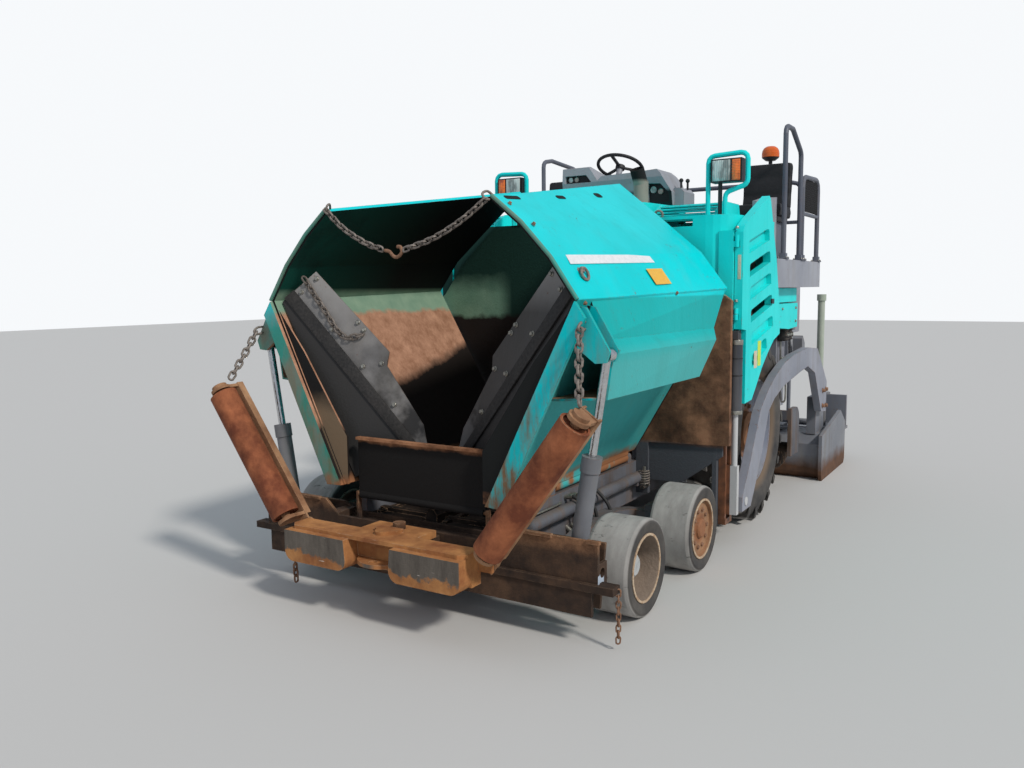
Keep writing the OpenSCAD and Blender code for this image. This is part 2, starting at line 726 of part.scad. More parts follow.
auger_in = 70;
auger_out = 1080;
module auger_housing() {
    color(frame_grey) {
        difference() {
            box([-1000, frame_rear, 620], [1000, frame_rear + 30, platform_low - face_gap]);
            box([-frame_in, frame_rear - 1, 619], [frame_in, frame_rear + 31, tunnel_top]);
        }
        box([-55, frame_rear, 250], [55, auger_y + 60, tunnel_top + 30]);
        rod_x(-56, 56, auger_y, auger_z, 110);
        both_sides() {
            side_profile(concat(
                [[frame_rear, 300], [auger_y + 60, 300]],
                arc_points(auger_y - 60, 600, 120, 0, 90, 6),
                [[frame_rear, 720]]), auger_out + 5, auger_out + 35);
            box([980, frame_rear, 619], [auger_out + 35, frame_rear + 30, 701]);
        }
    }
}
// Right- and left-hand screws on one shaft line
module auger_flight() {
    turns = (auger_out - auger_in - 90) / auger_pitch;
    steps = ceil(turns * 18);
    ro = auger_d / 2;
    ri = 30;
    t = 12;
    skin_rings([for (i = [0:steps])
        let (a = 360 * turns * i / steps, x = auger_in + 40 + turns * auger_pitch * i / steps)
        [[x + t, ri * cos(a), ri * sin(a)], [x + t, ro * cos(a), ro * sin(a)],
         [x, ro * cos(a), ro * sin(a)], [x, ri * cos(a), ri * sin(a)]]]);
}
module auger(side) {
    color(dark)
        on_side(side)
            translate([0, auger_y, auger_z]) {
                auger_flight();
                rod_x(56 + face_gap, auger_out + 5 - face_gap, 0, 0, 45);
            }
}

// Crossbar that swings behind the truck's wheels
bar_front = -3030;
bar_rear = -2880;
bar_web = -2962;
arm_x = 640;
arm_z = 420;
arm_pin_r = 25;
module crossbar() {
    z0 = crossbar_top - crossbar_h;
    color(rust) {
        box([-crossbar_half, bar_web, z0], [crossbar_half, bar_rear, crossbar_top]);
        // Top plate, which stands out over the tow plate
        translate([0, 0, crossbar_top - 22])
            linear_extrude(22)
                polygon([[-crossbar_half, bar_web + 1], [-crossbar_half, bar_front + 40],
                         [-crossbar_half + 40, bar_front], [crossbar_half - 40, bar_front],
                         [crossbar_half, bar_front + 40], [crossbar_half, bar_web + 1]]);
        // Worn bumper pads, rounded where they flank the tow plate
        both_sides()
            front_profile(concat(
                [[crossbar_half, crossbar_top - 21], [160, crossbar_top - 21]],
                arc_points(210, z0 + 45, 60, 180, 270, 6),
                arc_points(crossbar_half - 60, z0 + 45, 60, 270, 360, 6)),
                -half_l, bar_web + 1);
        // Hooked lock plate on top, in front of the pivot
        translate([0, 0, crossbar_top - 1])
            linear_extrude(21)
                polygon(concat([[70, pivot_y - 50], [-90, pivot_y - 50], [-90, bar_rear - 10]],
                               arc_points(-10, bar_rear - 35, 45, 180, 350, 9),
                               [[70, bar_rear - 15]]));
        // Half-round tow plate with its pin hole
        difference() {
            intersection() {
                rod_z(z0 + 30, z0 + 52, 0, bar_web + 55, 155);
                box([-159, -half_l + 4, z0], [159, bar_web + 1, crossbar_top]);
            }
            rod_z(z0, z0 + 90, 0, bar_web - 50, 22);
        }
        // Pivot plates above and below the tongue
        difference() {
            union() {
                front_profile([[-200, 441], [-200, crossbar_top], [200, crossbar_top], [200, 441]],
                              bar_rear - 1, pivot_y + 70);
                box([-200, bar_rear - 1, 360], [200, pivot_y + 70, 400 - 1]);
            }
            rod_z(300, 500, 0, pivot_y, pivot_r + pin_gap);
        }
        both_sides() {
            box([crossbar_half - 1, bar_rear - 20, 370], [680, bar_rear, 450]);
            rod_y(bar_rear - 1, -2826, arm_x, arm_z, arm_pin_r);
        }
    }
}
roller_y = -2962;
roller_start = 100;
module roller_arm(side) {
    color(rust)
        on_side(side)
            translate([arm_x, 0, arm_z]) rotate([0, -arm_angle, 0])
                difference() {
                    union() {
                        // Channel behind the roller
                        box([-45, -2872, -55], [roller_start + roller_l + 45, -2860, 55]);
                        box([60, -2861, 43], [roller_start + roller_l + 45, -2830, 55]);
                        box([60, -2861, -55], [roller_start + roller_l + 45, -2830, -43]);
                        rod_y(-2872, -2830, 0, 0, 50);
                        // End plates that hold the roller's shaft
                        for (u = [roller_start - 40, roller_start + roller_l + 20]) {
                            box([u, -2985, -50], [u + 20, -2861, 50]);
                            rod_x(u, u + 20, roller_y, 0, 58);
                        }
                        rod_x(roller_start - 21, roller_start + roller_l + 21, roller_y, 0, 25);
                        rod_x(roller_start + roller_l + 39, roller_start + roller_l + 60, roller_y, 0,
                              45);
                    }
                    rod_y(-2900, -2800, 0, 0, arm_pin_r + pin_gap);
                }
}
module push_roller(side) {
    color(rust)
        on_side(side)
            translate([arm_x, 0, arm_z]) rotate([0, -arm_angle, 0])
                translate([roller_start, roller_y, 0]) rotate([0, 90, 0])
                    rotate_extrude()
                        polygon([[25 + pin_gap, 10], [roller_r - 14, 10], [roller_r - 14, 0],
                                 [roller_r, 0], [roller_r, roller_l], [roller_r - 14, roller_l],
                                 [roller_r - 14, roller_l - 10], [25 + pin_gap, roller_l - 10]]);
}

// Sections of a folded wing, from its hinge up over the fold to its upper edge: columns x, z
wing_y0 = -wing_front;
wing_y1 = -wing_rear;
wing_section_front = [[515, 640], [1050, 1727], [905, 1935], [740, 2110], [567, 2250]];
wing_section_rear = [[525, 640], [1181, 1771], [1000, 2010], [700, 2260], [404, 2500]];
// Box stiffener on the outside, from the fold down and back in under its ledge: columns x, z
skin_front = [[1040, 1722], [1095, 1520], [1160, 1450], [1130, 1240], [786, 1214]];
skin_rear = [[1160, 1768], [1150, 1520], [1185, 1450], [1140, 1240], [830, 1214]];
skin_lean = 0.75;
// The wing's section at a share of its length, so that its twisted panels come in short pieces
wing_rings = 4;
function wing_section(share) = (1 - share) * wing_section_front + share * wing_section_rear;
function at_y(section, y) = [for (p = section) [p[0], y, p[1]]];
function on_slope(section, y, top, lean) =
    [for (p = section) [p[0], y - (top - p[1]) * lean, p[1]]];
module wing(side) {
    color(green)
        on_side(side)
            difference() {
                union() {
                    skin_rings([for (i = [0:wing_rings])
                        at_y(plate_outline(wing_section(i / wing_rings), wing_t),
                             wing_y0 + (wing_y1 - wing_y0) * i / wing_rings)]);
                    skin_rings([at_y(plate_outline(skin_front, 12), -2535),
                                on_slope(plate_outline(skin_rear, 12), wing_y1 - 25, 1762, skin_lean)]);
                    // Flange along the front edge of the floor panel
                    front_profile([[508, 645], [1043, 1722], [1100, 1640], [620, 640]],
                                  wing_y0 - 22, wing_y0 + 1);
                    // Stiffening web inside the front edge, wider towards the hinge
                    front_profile([[500, 650], [1032, 1712], [800, 1421], [562, 1060], [478, 935],
                                   [478, 650]], wing_y0 + 8, wing_y0 + 20);
                    // Strip that carries the bolted corner plate
                    on_corner(corner_t + face_gap)
                        linear_extrude(8) polygon([[20, -109], [790, -333], [806, -276], [36, -52]]);
                    // Ribs that hold the cylinder's rod
                    for (y = [cylinder_y - 62, cylinder_y + 42])
                        front_profile([[955, 1550], [1030, 1700], [1085, 1690], [1212, 1480],
                                       [1192, 1425], [1135, 1420]], y, y + 20);
                    for (y = [cylinder_y - 62, cylinder_y + 32 + face_gap])
                        rod_y(y, y + 30 - face_gap, rod_eye_x, rod_eye_z, rod_pin_r);
                    // Hinge tubes between the ears
                    for (k = [0:2])
                        rod_y(hinge_ears[k] + ear_l / 2 + 5, hinge_ears[k + 1] - ear_l / 2 - 5,
                              hinge_x, hinge_z, 32);
                    for (k = [0:2])
                        box([hinge_x, hinge_ears[k] + ear_l / 2 + 5, hinge_z + 22],
                            [hinge_x + 30, hinge_ears[k + 1] - ear_l / 2 - 5, 660]);
                }
                rod_y(wing_y0 - 30, wing_y1 + 30, hinge_x, hinge_z, hinge_r + pin_gap);
            }
}

// Flat plate that closes the hopper's front corner. It leans back towards the middle and ends in
// a slanted edge that carries the rubber. Its own axes start at that edge's upper corner.
corner_at = [955.2, -2599, 1774.4];
corner_turn = [104.0885, 48.4605, 166.1018];
corner_t = 12;
corner_outline = [[2, -84], [0, 0], [-2, 195], [676, 230], [732, 165], [1148, 110], [1246, 55],
                  [1200, 0], [1120, -409]];
module on_corner(depth) {
    translate(corner_at) rotate(corner_turn) translate([0, 0, depth]) children();
}
module corner_plate(side) {
    color(frame_grey)
        on_side(side)
            on_corner(0) linear_extrude(corner_t) polygon(corner_outline);
}

rod_eye_x = 1170;
rod_eye_z = 1460;
rod_pin_r = 18;
lean = atan2(rod_eye_x - cylinder_x, rod_eye_z - cylinder_z);
reach = norm([rod_eye_x - cylinder_x, rod_eye_z - cylinder_z]);
barrel_l = 560;
module along_cylinder() {
    translate([cylinder_x, cylinder_y, cylinder_z]) rotate([0, lean, 0]) children();
}
module wing_barrel(side) {
    color(frame_grey)
        on_side(side)
            along_cylinder()
                difference() {
                    union() {
                        translate([0, 0, 35]) cylinder(h = barrel_l - 105, r = 46);
                        translate([0, 0, barrel_l - 80]) cylinder(h = 80, r = 52);
                        rod_y(-35, 35, 0, 0, 44);
                    }
                    rod_y(-60, 60, 0, 0, cylinder_pin_r + pin_gap);
                    translate([0, 0, 60]) cylinder(h = barrel_l, r = 22 + pin_gap);
                }
}
module wing_rod(side) {
    color(steel)
        on_side(side)
            along_cylinder() {
                translate([0, 0, 430]) cylinder(h = reach - 430 - 10, r = 22);
                translate([0, 0, reach]) rod_y(-32, 32, 0, 0, 36);
            }
}

module apron() {
    color(rust)
        difference() {
            union() {
                box([-apron_half, apron_y - 8, apron_z + 10],
                    [apron_half, apron_y + 8, apron_z + apron_h]);
                box([-apron_half, apron_y - 30, apron_z + apron_h - 8],
                    [apron_half, apron_y + 8, apron_z + apron_h + 8]);
                rod_x(-apron_half + 10, apron_half - 10, apron_y, apron_z, 22);
            }
            rod_x(-apron_half, apron_half, apron_y, apron_z, apron_pin_r + pin_gap);
        }
}

// Tow arms that draw the screed
tow_x = half_w - 25 - tow_t;
tow_outline_top = [[-640, 240], [-640, 340], [-470, 560], [-350, 740], [-240, 900], [-60, 1020],
                   [140, 1110], [400, 1190], [670, 1230], [1150, 1260], [1500, 1230], [1900, 900]];
tow_outline_low = [[1900, 620], [1700, 640], [1420, 1020], [1150, 1100], [850, 1070], [380, 1010],
                   [120, 940], [-30, 860], [-130, 680], [-300, 420], [-440, 240]];
module tow_arms() {
    color(frame_grey)
        both_sides() {
            difference() {
                side_profile(concat(tow_outline_top, tow_outline_low), tow_x, tow_x + tow_t);
                rod_x(tow_x - 1, tow_x + tow_t + 1, -tow_y, tow_z, tow_pin_r + pin_gap);
            }
            // Lug for the lift cylinder
            box([lift_x + 30, lift_low_y - 35, lift_low_z - 35],
                [tow_x + 1, lift_low_y + 35, lift_low_z + 35]);
            rod_x(lift_x + 24 + face_gap, lift_x + 31, lift_low_y, lift_low_z, lift_pin_r);
        }
}
tow_pin_r = 30;
lift_pin_r = 18;
lift_x = 1050;
lift_low_y = 1350;
lift_low_z = 1130;
lift_top_y = 1290;
lift_top_z = 1720;
guide_r = 32;
guide_y = screed_front + screed_d + 55;
function guide_z(side) = side > 0 ? 335 : 455;
module screed() {
    y0 = screed_front;
    y1 = y0 + screed_d;
    color(frame_grey) {
        side_profile([[y0 - 20, 330], [y0, 60], [y0 + 60, 0], [y1, 0], [y1, 300], [y1 - 60, 420],
                      [y0 + 60, 420]], -half_w + 35, half_w - 35);
        // Seats of the tow arms
        both_sides() box([tow_x - 80, y0 + 40, 415], [tow_x - face_gap, y1 - 90, 760]);
        // Covers over the tamper drive and the gas line
        for (x = [-900:450:450])
            box([x + 30, y0 + 120, 415], [x + 420, y0 + 300, 470]);
        rod_x(-960, 960, y0 + 90, 448, 16);
        for (x = [-940:470:940])
            box([x - 12, y0 + 74, 415], [x + 12, y0 + 106, 440]);
        // Spindle tubes and the crank posts
        both_sides() {
            rod_z(410, 1650, tow_x - 50, y1 - 70, 32);
            rod_z(1640, 1700, tow_x - 50, y1 - 70, 42);
            rod_z(700, 740, tow_x - 50, y1 - 70, 40);
        }
        // Sleeves that the extensions' guide tubes slide in
        for (side = [1, -1])
            on_side(side)
                difference() {
                    union() {
                        rod_x(-60, 520, guide_y, guide_z(side), 50);
                        box([-60, y1 - 70, guide_z(side) - 40], [520, guide_y, guide_z(side) + 40]);
                    }
                    rod_x(-70, 530, guide_y, guide_z(side), guide_r + pin_gap);
                }
    }
}
module screed_extension(side) {
    y0 = screed_front + screed_d + 110;
    y1 = y0 + extension_d;
    color(frame_grey)
        on_side(side) {
            rod_x(-half_w + 120, half_w - 70, guide_y, guide_z(side), guide_r);
            box([half_w - 125, guide_y - 45, guide_z(side) - 45],
                [half_w - 75, y0 + 1, guide_z(side) + 45]);
            box([half_w - 125, y0, 250], [half_w - 75, y0 + 40, guide_z(side) + 45]);
            side_profile([[y0, 60], [y0 + 50, 0], [y1, 0], [y1, 280], [y1 - 50, 400], [y0, 400]],
                         5, half_w - 29);
            // End gate
            side_profile([[screed_front - 40, 0], [screed_front - 60, 60],
                          [screed_front - 60, 420], [y1 - 200, 560], [y1 + 30, 420], [y1 + 30, 40],
                          [y1 - 10, 0]], half_w - 30, half_w);
            // Spindle that sets the extension's height, and the outer control stand
            rod_z(390, 720, half_w - 160, y0 + 150, 24);
            rod_z(715, 735, half_w - 160, y0 + 150, 60);
            rod_z(320, 1010, 640, half_l - 110, 20);
            side_profile([[half_l - 150, 1000], [half_l - 170, 1230], [half_l - 140, 1260],
                          [half_l - 50, 1180], [half_l - 50, 1000]], 500, 780);
            // Walkway and its folded step
            box([40, y1 - 20, 300], [half_w - 40, half_l - 40, 325]);
            box([half_w - 300, half_l - 40, 300], [half_w - 60, half_l, 640]);
            for (x = [100:160:580])
                box([x, y1 + 20, 324], [x + 24, half_l - 160, 333]);
        }
}
module along_lift() {
    translate([lift_x, lift_top_y, lift_top_z])
        rotate([atan2(lift_low_y - lift_top_y, lift_top_z - lift_low_z), 0, 0]) children();
}
lift_reach = norm([lift_low_y - lift_top_y, lift_top_z - lift_low_z]);
lift_barrel_l = 290;
module lift_barrel(side) {
    color(frame_grey)
        on_side(side)
            along_lift()
                difference() {
                    union() {
                        translate([0, 0, -30 - lift_barrel_l]) cylinder(h = lift_barrel_l, r = 42);
                        rod_x(-25, 25, 0, 0, 40);
                    }
                    rod_x(-60, 60, 0, 0, lift_pin_r + pin_gap);
                    translate([0, 0, -31 - lift_barrel_l])
                        cylinder(h = lift_barrel_l - 27, r = 20 + pin_gap);
                }
}
module lift_rod(side) {
    color(steel)
        on_side(side)
            along_lift() {
                translate([0, 0, -lift_reach + 10]) cylinder(h = lift_reach - 10 - 295, r = 20);
                translate([0, 0, -lift_reach]) rod_x(-24, 24, 0, 0, 36);
            }
}

main_frame();
conveyor();
front_beam();
bulkhead();
axles();
engine();
hood();
exhaust();
lamps();
lamp_guards();
platform();
side_boxes();
rails();
seats();
console();
levelling_cylinders();
auger_housing();
knuckle(0, 1);  // knuckle_1_left
knuckle(0, -1);  // knuckle_1_right
knuckle(1, 1);  // knuckle_2_left
knuckle(1, -1);  // knuckle_2_right
front_tyre(0, 1);  // tyre_1_left
front_tyre(0, -1);  // tyre_1_right
front_tyre(1, 1);  // tyre_2_left
front_tyre(1, -1);  // tyre_2_right
front_rim(0, 1);  // rim_1_left
front_rim(0, -1);  // rim_1_right
front_rim(1, 1);  // rim_2_left
front_rim(1, -1);  // rim_2_right
rear_tyre(1);  // tyre_rear_left
rear_tyre(-1);  // tyre_rear_right
rear_rim(1);  // rim_rear_left
rear_rim(-1);  // rim_rear_right
louvre_door(1);  // louvre_door_left
louvre_door(-1);  // louvre_door_right
steering_wheel();
auger(1);  // auger_left
auger(-1);  // auger_right
crossbar();
roller_arm(1);  // roller_arm_left
roller_arm(-1);  // roller_arm_right
push_roller(1);  // push_roller_left
push_roller(-1);  // push_roller_right
wing(1);  // wing_left
wing(-1);  // wing_right
wing_barrel(1);  // wing_barrel_left
wing_barrel(-1);  // wing_barrel_right
wing_rod(1);  // wing_rod_left
wing_rod(-1);  // wing_rod_right
corner_plate(1);  // corner_plate_left
corner_plate(-1);  // corner_plate_right
apron();
tow_arms();
screed();
screed_extension(1);  // screed_extension_left
screed_extension(-1);  // screed_extension_right
lift_barrel(1);  // lift_barrel_left
lift_barrel(-1);  // lift_barrel_right
lift_rod(1);  // lift_rod_left
lift_rod(-1);  // lift_rod_right
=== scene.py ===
from math import cos, pi, radians, sin

import bmesh
import bpy
from mathutils import Matrix, Vector


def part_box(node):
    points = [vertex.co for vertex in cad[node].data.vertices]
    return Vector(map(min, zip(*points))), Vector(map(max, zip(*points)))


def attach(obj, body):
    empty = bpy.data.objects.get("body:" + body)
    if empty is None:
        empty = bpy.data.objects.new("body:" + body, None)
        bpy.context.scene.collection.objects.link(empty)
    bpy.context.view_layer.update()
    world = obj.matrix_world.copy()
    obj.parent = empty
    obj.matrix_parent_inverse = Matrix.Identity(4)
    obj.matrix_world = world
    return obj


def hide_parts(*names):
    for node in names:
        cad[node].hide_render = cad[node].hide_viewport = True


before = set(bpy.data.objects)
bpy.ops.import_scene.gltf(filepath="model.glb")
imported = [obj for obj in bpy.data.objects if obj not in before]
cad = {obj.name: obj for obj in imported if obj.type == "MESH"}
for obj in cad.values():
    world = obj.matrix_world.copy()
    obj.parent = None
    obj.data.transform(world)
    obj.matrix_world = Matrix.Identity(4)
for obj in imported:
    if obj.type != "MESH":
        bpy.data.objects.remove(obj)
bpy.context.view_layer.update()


# Camera at the photograph's place, to the right of the hopper and about eye height.
# The floor is a wide pale slab, and the light is a soft sky with one large warm lamp
# from the machine's left, where the sun stands.
scene = bpy.context.scene
scene.view_settings.view_transform = "Standard"
bpy.ops.object.camera_add(location=(2.98, -6.356, 1.784), rotation=(radians(83.658), radians(0.624),
    radians(32.039)))
camera = bpy.context.object
camera.data.lens = 30.14
camera.data.sensor_width = 36
camera.data.clip_end = 200
scene.camera = camera

bpy.ops.mesh.primitive_plane_add(size=80, location=(0, 0, -0.002))
floor = bpy.context.object
floor.name = "floor"


def add(tree, kind, **values):
    item = tree.nodes.new(kind)
    for key, value in values.items():
        if key in item.inputs.keys():
            item.inputs[key].default_value = value
        else:
            setattr(item, key, value)
    return item


def link(source, target):
    source.id_data.links.new(source, target)


def new_material(name):
    material = bpy.data.materials.new(name)
    material.use_nodes = True
    material.node_tree.nodes.clear()
    return material, material.node_tree


floor_finish, tree = new_material("floor")
shader = add(tree, "ShaderNodeBsdfPrincipled", Roughness=0.9)
shader.inputs["Base Color"].default_value = (0.55, 0.54, 0.52, 1)
link(shader.outputs[0], add(tree, "ShaderNodeOutputMaterial").inputs[0])
floor.data.materials.append(floor_finish)

world = bpy.data.worlds.new("sky")
scene.world = world
world.use_nodes = True
tree = world.node_tree
tree.nodes.clear()
sky_light = add(tree, "ShaderNodeBackground", Color=(0.8, 0.88, 1.0, 1), Strength=0.58)
sky_seen = add(tree, "ShaderNodeBackground", Color=(0.93, 0.95, 0.97, 1))
sky_mix = add(tree, "ShaderNodeMixShader")
link(add(tree, "ShaderNodeLightPath").outputs["Is Camera Ray"], sky_mix.inputs[0])
link(sky_light.outputs[0], sky_mix.inputs[1])
link(sky_seen.outputs[0], sky_mix.inputs[2])
link(sky_mix.outputs[0], add(tree, "ShaderNodeOutputWorld").inputs[0])

bpy.ops.object.light_add(type="SUN", location=(6, 2, 8), rotation=(radians(14), radians(48), 0))
sun = bpy.context.object
sun.data.energy = 2.3
sun.data.angle = radians(7)
sun.data.color = (1.0, 0.96, 0.9)


# Hydraulic hoses: black rubber over wire braid, pressed into steel ends. Three run in slack
# loops beside the frame at the front axles, each with both ends in the machine.
def ramp(source, low, high, first=(0, 0, 0, 1), last=(1, 1, 1, 1)):
    item = add(source.id_data, "ShaderNodeValToRGB")
    for stop, position, colour in zip(item.color_ramp.elements, (low, high), (first, last)):
        stop.position = position
        stop.color = colour
    link(source, item.inputs[0])
    return item.outputs[0]


def mixed(share, first, last):
    values = (share, first, last)
    tree = next(v.id_data for v in values if isinstance(v, bpy.types.NodeSocket))
    item = add(tree, "ShaderNodeMixRGB")
    for socket, value in zip(item.inputs, values):
        if isinstance(value, bpy.types.NodeSocket):
            link(value, socket)
        elif isinstance(value, (int, float)):
            socket.default_value = value if socket.type == "VALUE" else (value, value, value, 1)
        else:
            socket.default_value = (*value, 1)
    return item.outputs[0]


def cloud(tree, scale, stretch=(1, 1, 1), detail=4, roughness=0.55):
    mapping = add(tree, "ShaderNodeMapping", Scale=stretch)
    noise = add(tree, "ShaderNodeTexNoise", Scale=scale, Detail=detail, Roughness=roughness)
    link(add(tree, "ShaderNodeTexCoord").outputs["Object"], mapping.inputs[0])
    link(mapping.outputs[0], noise.inputs["Vector"])
    return noise.outputs["Fac"]


def patchy(tree, low, high, *noise, **more):
    return ramp(cloud(tree, *noise, **more), low, high)


def finish(tree, colour, rough, bump, bump_height, metal=0.0, shine=0.35, soft_edge=0.0):
    shader = add(tree, "ShaderNodeBsdfPrincipled", Metallic=metal)
    shader.inputs["Specular IOR Level"].default_value = shine
    relief = add(tree, "ShaderNodeBump", Strength=1.0, Distance=bump_height)
    link(bump, relief.inputs["Height"])
    if soft_edge:
        soft = add(tree, "ShaderNodeBevel", Radius=soft_edge, samples=4)
        link(soft.outputs[0], relief.inputs["Normal"])
    link(colour, shader.inputs["Base Color"])
    link(rough, shader.inputs["Roughness"])
    link(relief.outputs[0], shader.inputs["Normal"])
    link(shader.outputs[0], add(tree, "ShaderNodeOutputMaterial").inputs[0])
    return shader


def plain(name, dark, light, rough=(0.45, 0.75), scale=9.0, grain=0.0008, metal=0.0, shine=0.35):
    material, tree = new_material(name)
    patches = patchy(tree, 0.33, 0.68, scale, detail=6, roughness=0.62)
    specks = patchy(tree, 0.3, 0.75, 70, detail=3)
    colour = mixed(mixed(0.6, patches, specks), dark, light)
    gloss = mixed(patches, rough[0], rough[1])
    finish(tree, colour, gloss, specks, grain, metal, shine)
    return material


hose_rubber = plain("hose_rubber", (0.01, 0.01, 0.011), (0.045, 0.043, 0.042))
zinc = plain("zinc_plate", (0.22, 0.21, 0.18), (0.5, 0.48, 0.42), (0.25, 0.5), metal=0.8)


def smooth_run(corners, steps):
    ends = [Vector(c) for c in corners]
    ends = [2 * ends[0] - ends[1]] + ends + [2 * ends[-1] - ends[-2]]
    points = []
    for a, b, c, d in zip(ends, ends[1:], ends[2:], ends[3:]):
        for k in range(steps):
            t = k / steps
            points.append(0.5 * (2 * b + (c - a) * t + (2 * a - 5 * b + 4 * c - d) * t ** 2
                + (3 * b - a - 3 * c + d) * t ** 3))
    return points + [ends[-2]]


def carry(piece, body):
    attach(piece, body)
    return piece


def line_piece(name, points, thickness, material, body, sides=3):
    curve = bpy.data.curves.new(name, "CURVE")
    curve.dimensions = "3D"
    curve.bevel_depth = thickness / 2
    curve.bevel_resolution = sides
    curve.use_fill_caps = True
    spline = curve.splines.new("POLY")
    spline.points.add(len(points) - 1)
    for point, place in zip(spline.points, points):
        point.co = (*place, 1)
    curve.materials.append(material)
    piece = bpy.data.objects.new(name, curve)
    scene.collection.objects.link(piece)
    return carry(piece, body)


def hose(name, corners, thickness, body):
    points = smooth_run(corners, 7)
    piece = line_piece(name, points, thickness, hose_rubber, body)
    for k, (end, inner) in enumerate(((points[0], points[2]), (points[-1], points[-3]))):
        way = (inner - end).normalized()
        collar = [end + way * reach for reach in (-0.004, 0.012, 0.014, 0.055)]
        line_piece(f"{name}_end_{k + 1}", collar, thickness * 1.35, zinc, body,
            2)


for i, (y, low) in enumerate(((-1.86, 0.02), (-1.8, 0.0), (-1.6, 0.03))):
    hose(f"axle_hose_{i + 1}", [(0.528, y, 0.52), (0.6, y, 0.525), (0.68, y + 0.02, 0.47 - low),
        (0.7, y + 0.03, 0.38 - low), (0.66, y + 0.03, 0.31 - low), (0.6, y + 0.02, 0.285),
        (0.528, y + 0.02, 0.33)], 0.022, "machine")


# Main frame with the bogie's beams: two long box beams of welded plate, sprayed blue-grey.
# The paint fades in clouds, holds dust in runs, and is chipped to rusty steel along edges.
def number(operation, first, second=0.0):
    values = (first, second)
    tree = next(v.id_data for v in values if isinstance(v, bpy.types.NodeSocket))
    item = add(tree, "ShaderNodeMath", operation=operation)
    for socket, value in zip(item.inputs, values):
        if isinstance(value, bpy.types.NodeSocket):
            link(value, socket)
        else:
            socket.default_value = value
    return item.outputs[0]


def times(first, *others):
    for other in others:
        first = number("MULTIPLY", first, other)
    return first


def step(value, low, high):
    item = add(value.id_data, "ShaderNodeMapRange")
    item.inputs["From Min"].default_value = low
    item.inputs["From Max"].default_value = high
    link(value, item.inputs["Value"])
    return item.outputs[0]


def axes(tree, output="Object"):
    split = add(tree, "ShaderNodeSeparateXYZ")
    link(add(tree, "ShaderNodeTexCoord").outputs[output], split.inputs[0])
    return split.outputs[0], split.outputs[1], split.outputs[2]


def edges(tree, radius):
    soft = add(tree, "ShaderNodeBevel", Radius=radius, samples=4)
    dot = add(tree, "ShaderNodeVectorMath", operation="DOT_PRODUCT")
    link(soft.outputs[0], dot.inputs[0])
    link(add(tree, "ShaderNodeNewGeometry").outputs["True Normal"], dot.inputs[1])
    return ramp(dot.outputs["Value"], 0.8, 0.985, (1, 1, 1, 1), (0, 0, 0, 1))


def paint(name, fresh, faded, wear=0.5, dirt=0.35, special=None, shine=0.3, dust=(0.23, 0.2, 0.16)):
    material, tree = new_material(name)
    base = mixed(patchy(tree, 0.35, 0.68, 1.7), fresh, faded)
    runs = patchy(tree, 0.5, 0.8, 9, (1, 1, 0.1), 5)
    blotch = patchy(tree, 0.5, 0.72, 3.2, detail=6, roughness=0.65)
    base = mixed(times(runs, dirt), base, dust)
    base = mixed(times(blotch, dirt * 0.55), base, [c * 0.45 for c in dust])
    up = step(axes(tree, "Normal")[2], 0.6, 0.95)
    base = mixed(times(up, dirt * 0.3), base, dust)
    scuffs = patchy(tree, 0.66, 0.72, 26, (1, 0.25, 1), 6, 0.7)
    base = mixed(times(scuffs, 0.6), base, [min(1, c * 0.6 + 0.04) for c in fresh])
    rim = times(edges(tree, 0.007), patchy(tree, 0.56 - 0.16 * wear, 0.64 - 0.1 * wear, 16, detail=6,
        roughness=0.7))
    spots = times(patchy(tree, 0.62, 0.66, 34, detail=6, roughness=0.65),
        patchy(tree, 0.6 - 0.08 * wear, 0.72 - 0.06 * wear, 4.1))
    bare = number("MAXIMUM", rim, spots)
    rust_tone = mixed(patchy(tree, 0.35, 0.7, 40), (0.11, 0.04, 0.018), (0.34, 0.145, 0.06))
    colour = mixed(bare, base, rust_tone)
    rough = mixed(bare, mixed(runs, 0.42, 0.65), 0.85)
    bumps = number("SUBTRACT", patchy(tree, 0.0, 1.0, 60, detail=2), bare)
    if special:
        colour, rough = special(tree, colour, rough)
    finish(tree, colour, rough, bumps, 0.001, shine=shine, soft_edge=0.003)
    return material


def both(name):
    return [f"{name}_left", f"{name}_right"]


def dress(names, material):
    for name in names:
        for slot in cad[name].material_slots:
            slot.material = material


frame_paint = paint("frame_paint", (0.09, 0.094, 0.11), (0.155, 0.16, 0.18), wear=1.0, dirt=1.0,
    dust=(0.16, 0.105, 0.07))
dress(["main_frame", "axles", "auger_housing"], frame_paint)
dress([n for n in cad if n.startswith("knuckle")], frame_paint)


# Front wheels: solid rubber bands pressed on steel rims. The rubber is scraped light grey
# on its running face. The first rims are dished, with a chipped rusty edge, and the
# second ones are closed by a rusty hub plate with ten bolts.
sides = (("left", 1), ("right", -1))
axle_z = 0.27


def clear():
    if bpy.context.object and bpy.context.object.mode != "OBJECT":
        bpy.ops.object.mode_set(mode="OBJECT")
    bpy.ops.object.select_all(action="DESELECT")


def pick(piece, test, kind="FACE"):
    bpy.context.view_layer.objects.active = piece
    piece.select_set(True)
    bpy.ops.object.mode_set(mode="EDIT")
    bpy.ops.mesh.select_mode(type=kind)
    bpy.ops.mesh.select_all(action="DESELECT")
    mesh = bmesh.from_edit_mesh(piece.data)
    if kind == "FACE":
        for face in mesh.faces:
            face.select_set(test(face.calc_center_median(), face.normal))
    else:
        for corner in mesh.verts:
            corner.select_set(test(corner.co, corner.normal))
    mesh.select_flush_mode()
    bmesh.update_edit_mesh(piece.data)


def pick_side(piece, way, limit=0.9):
    pick(piece, lambda centre, normal: normal.dot(Vector(way)) > limit)


def only(piece):
    clear()
    piece.select_set(True)
    bpy.context.view_layer.objects.active = piece


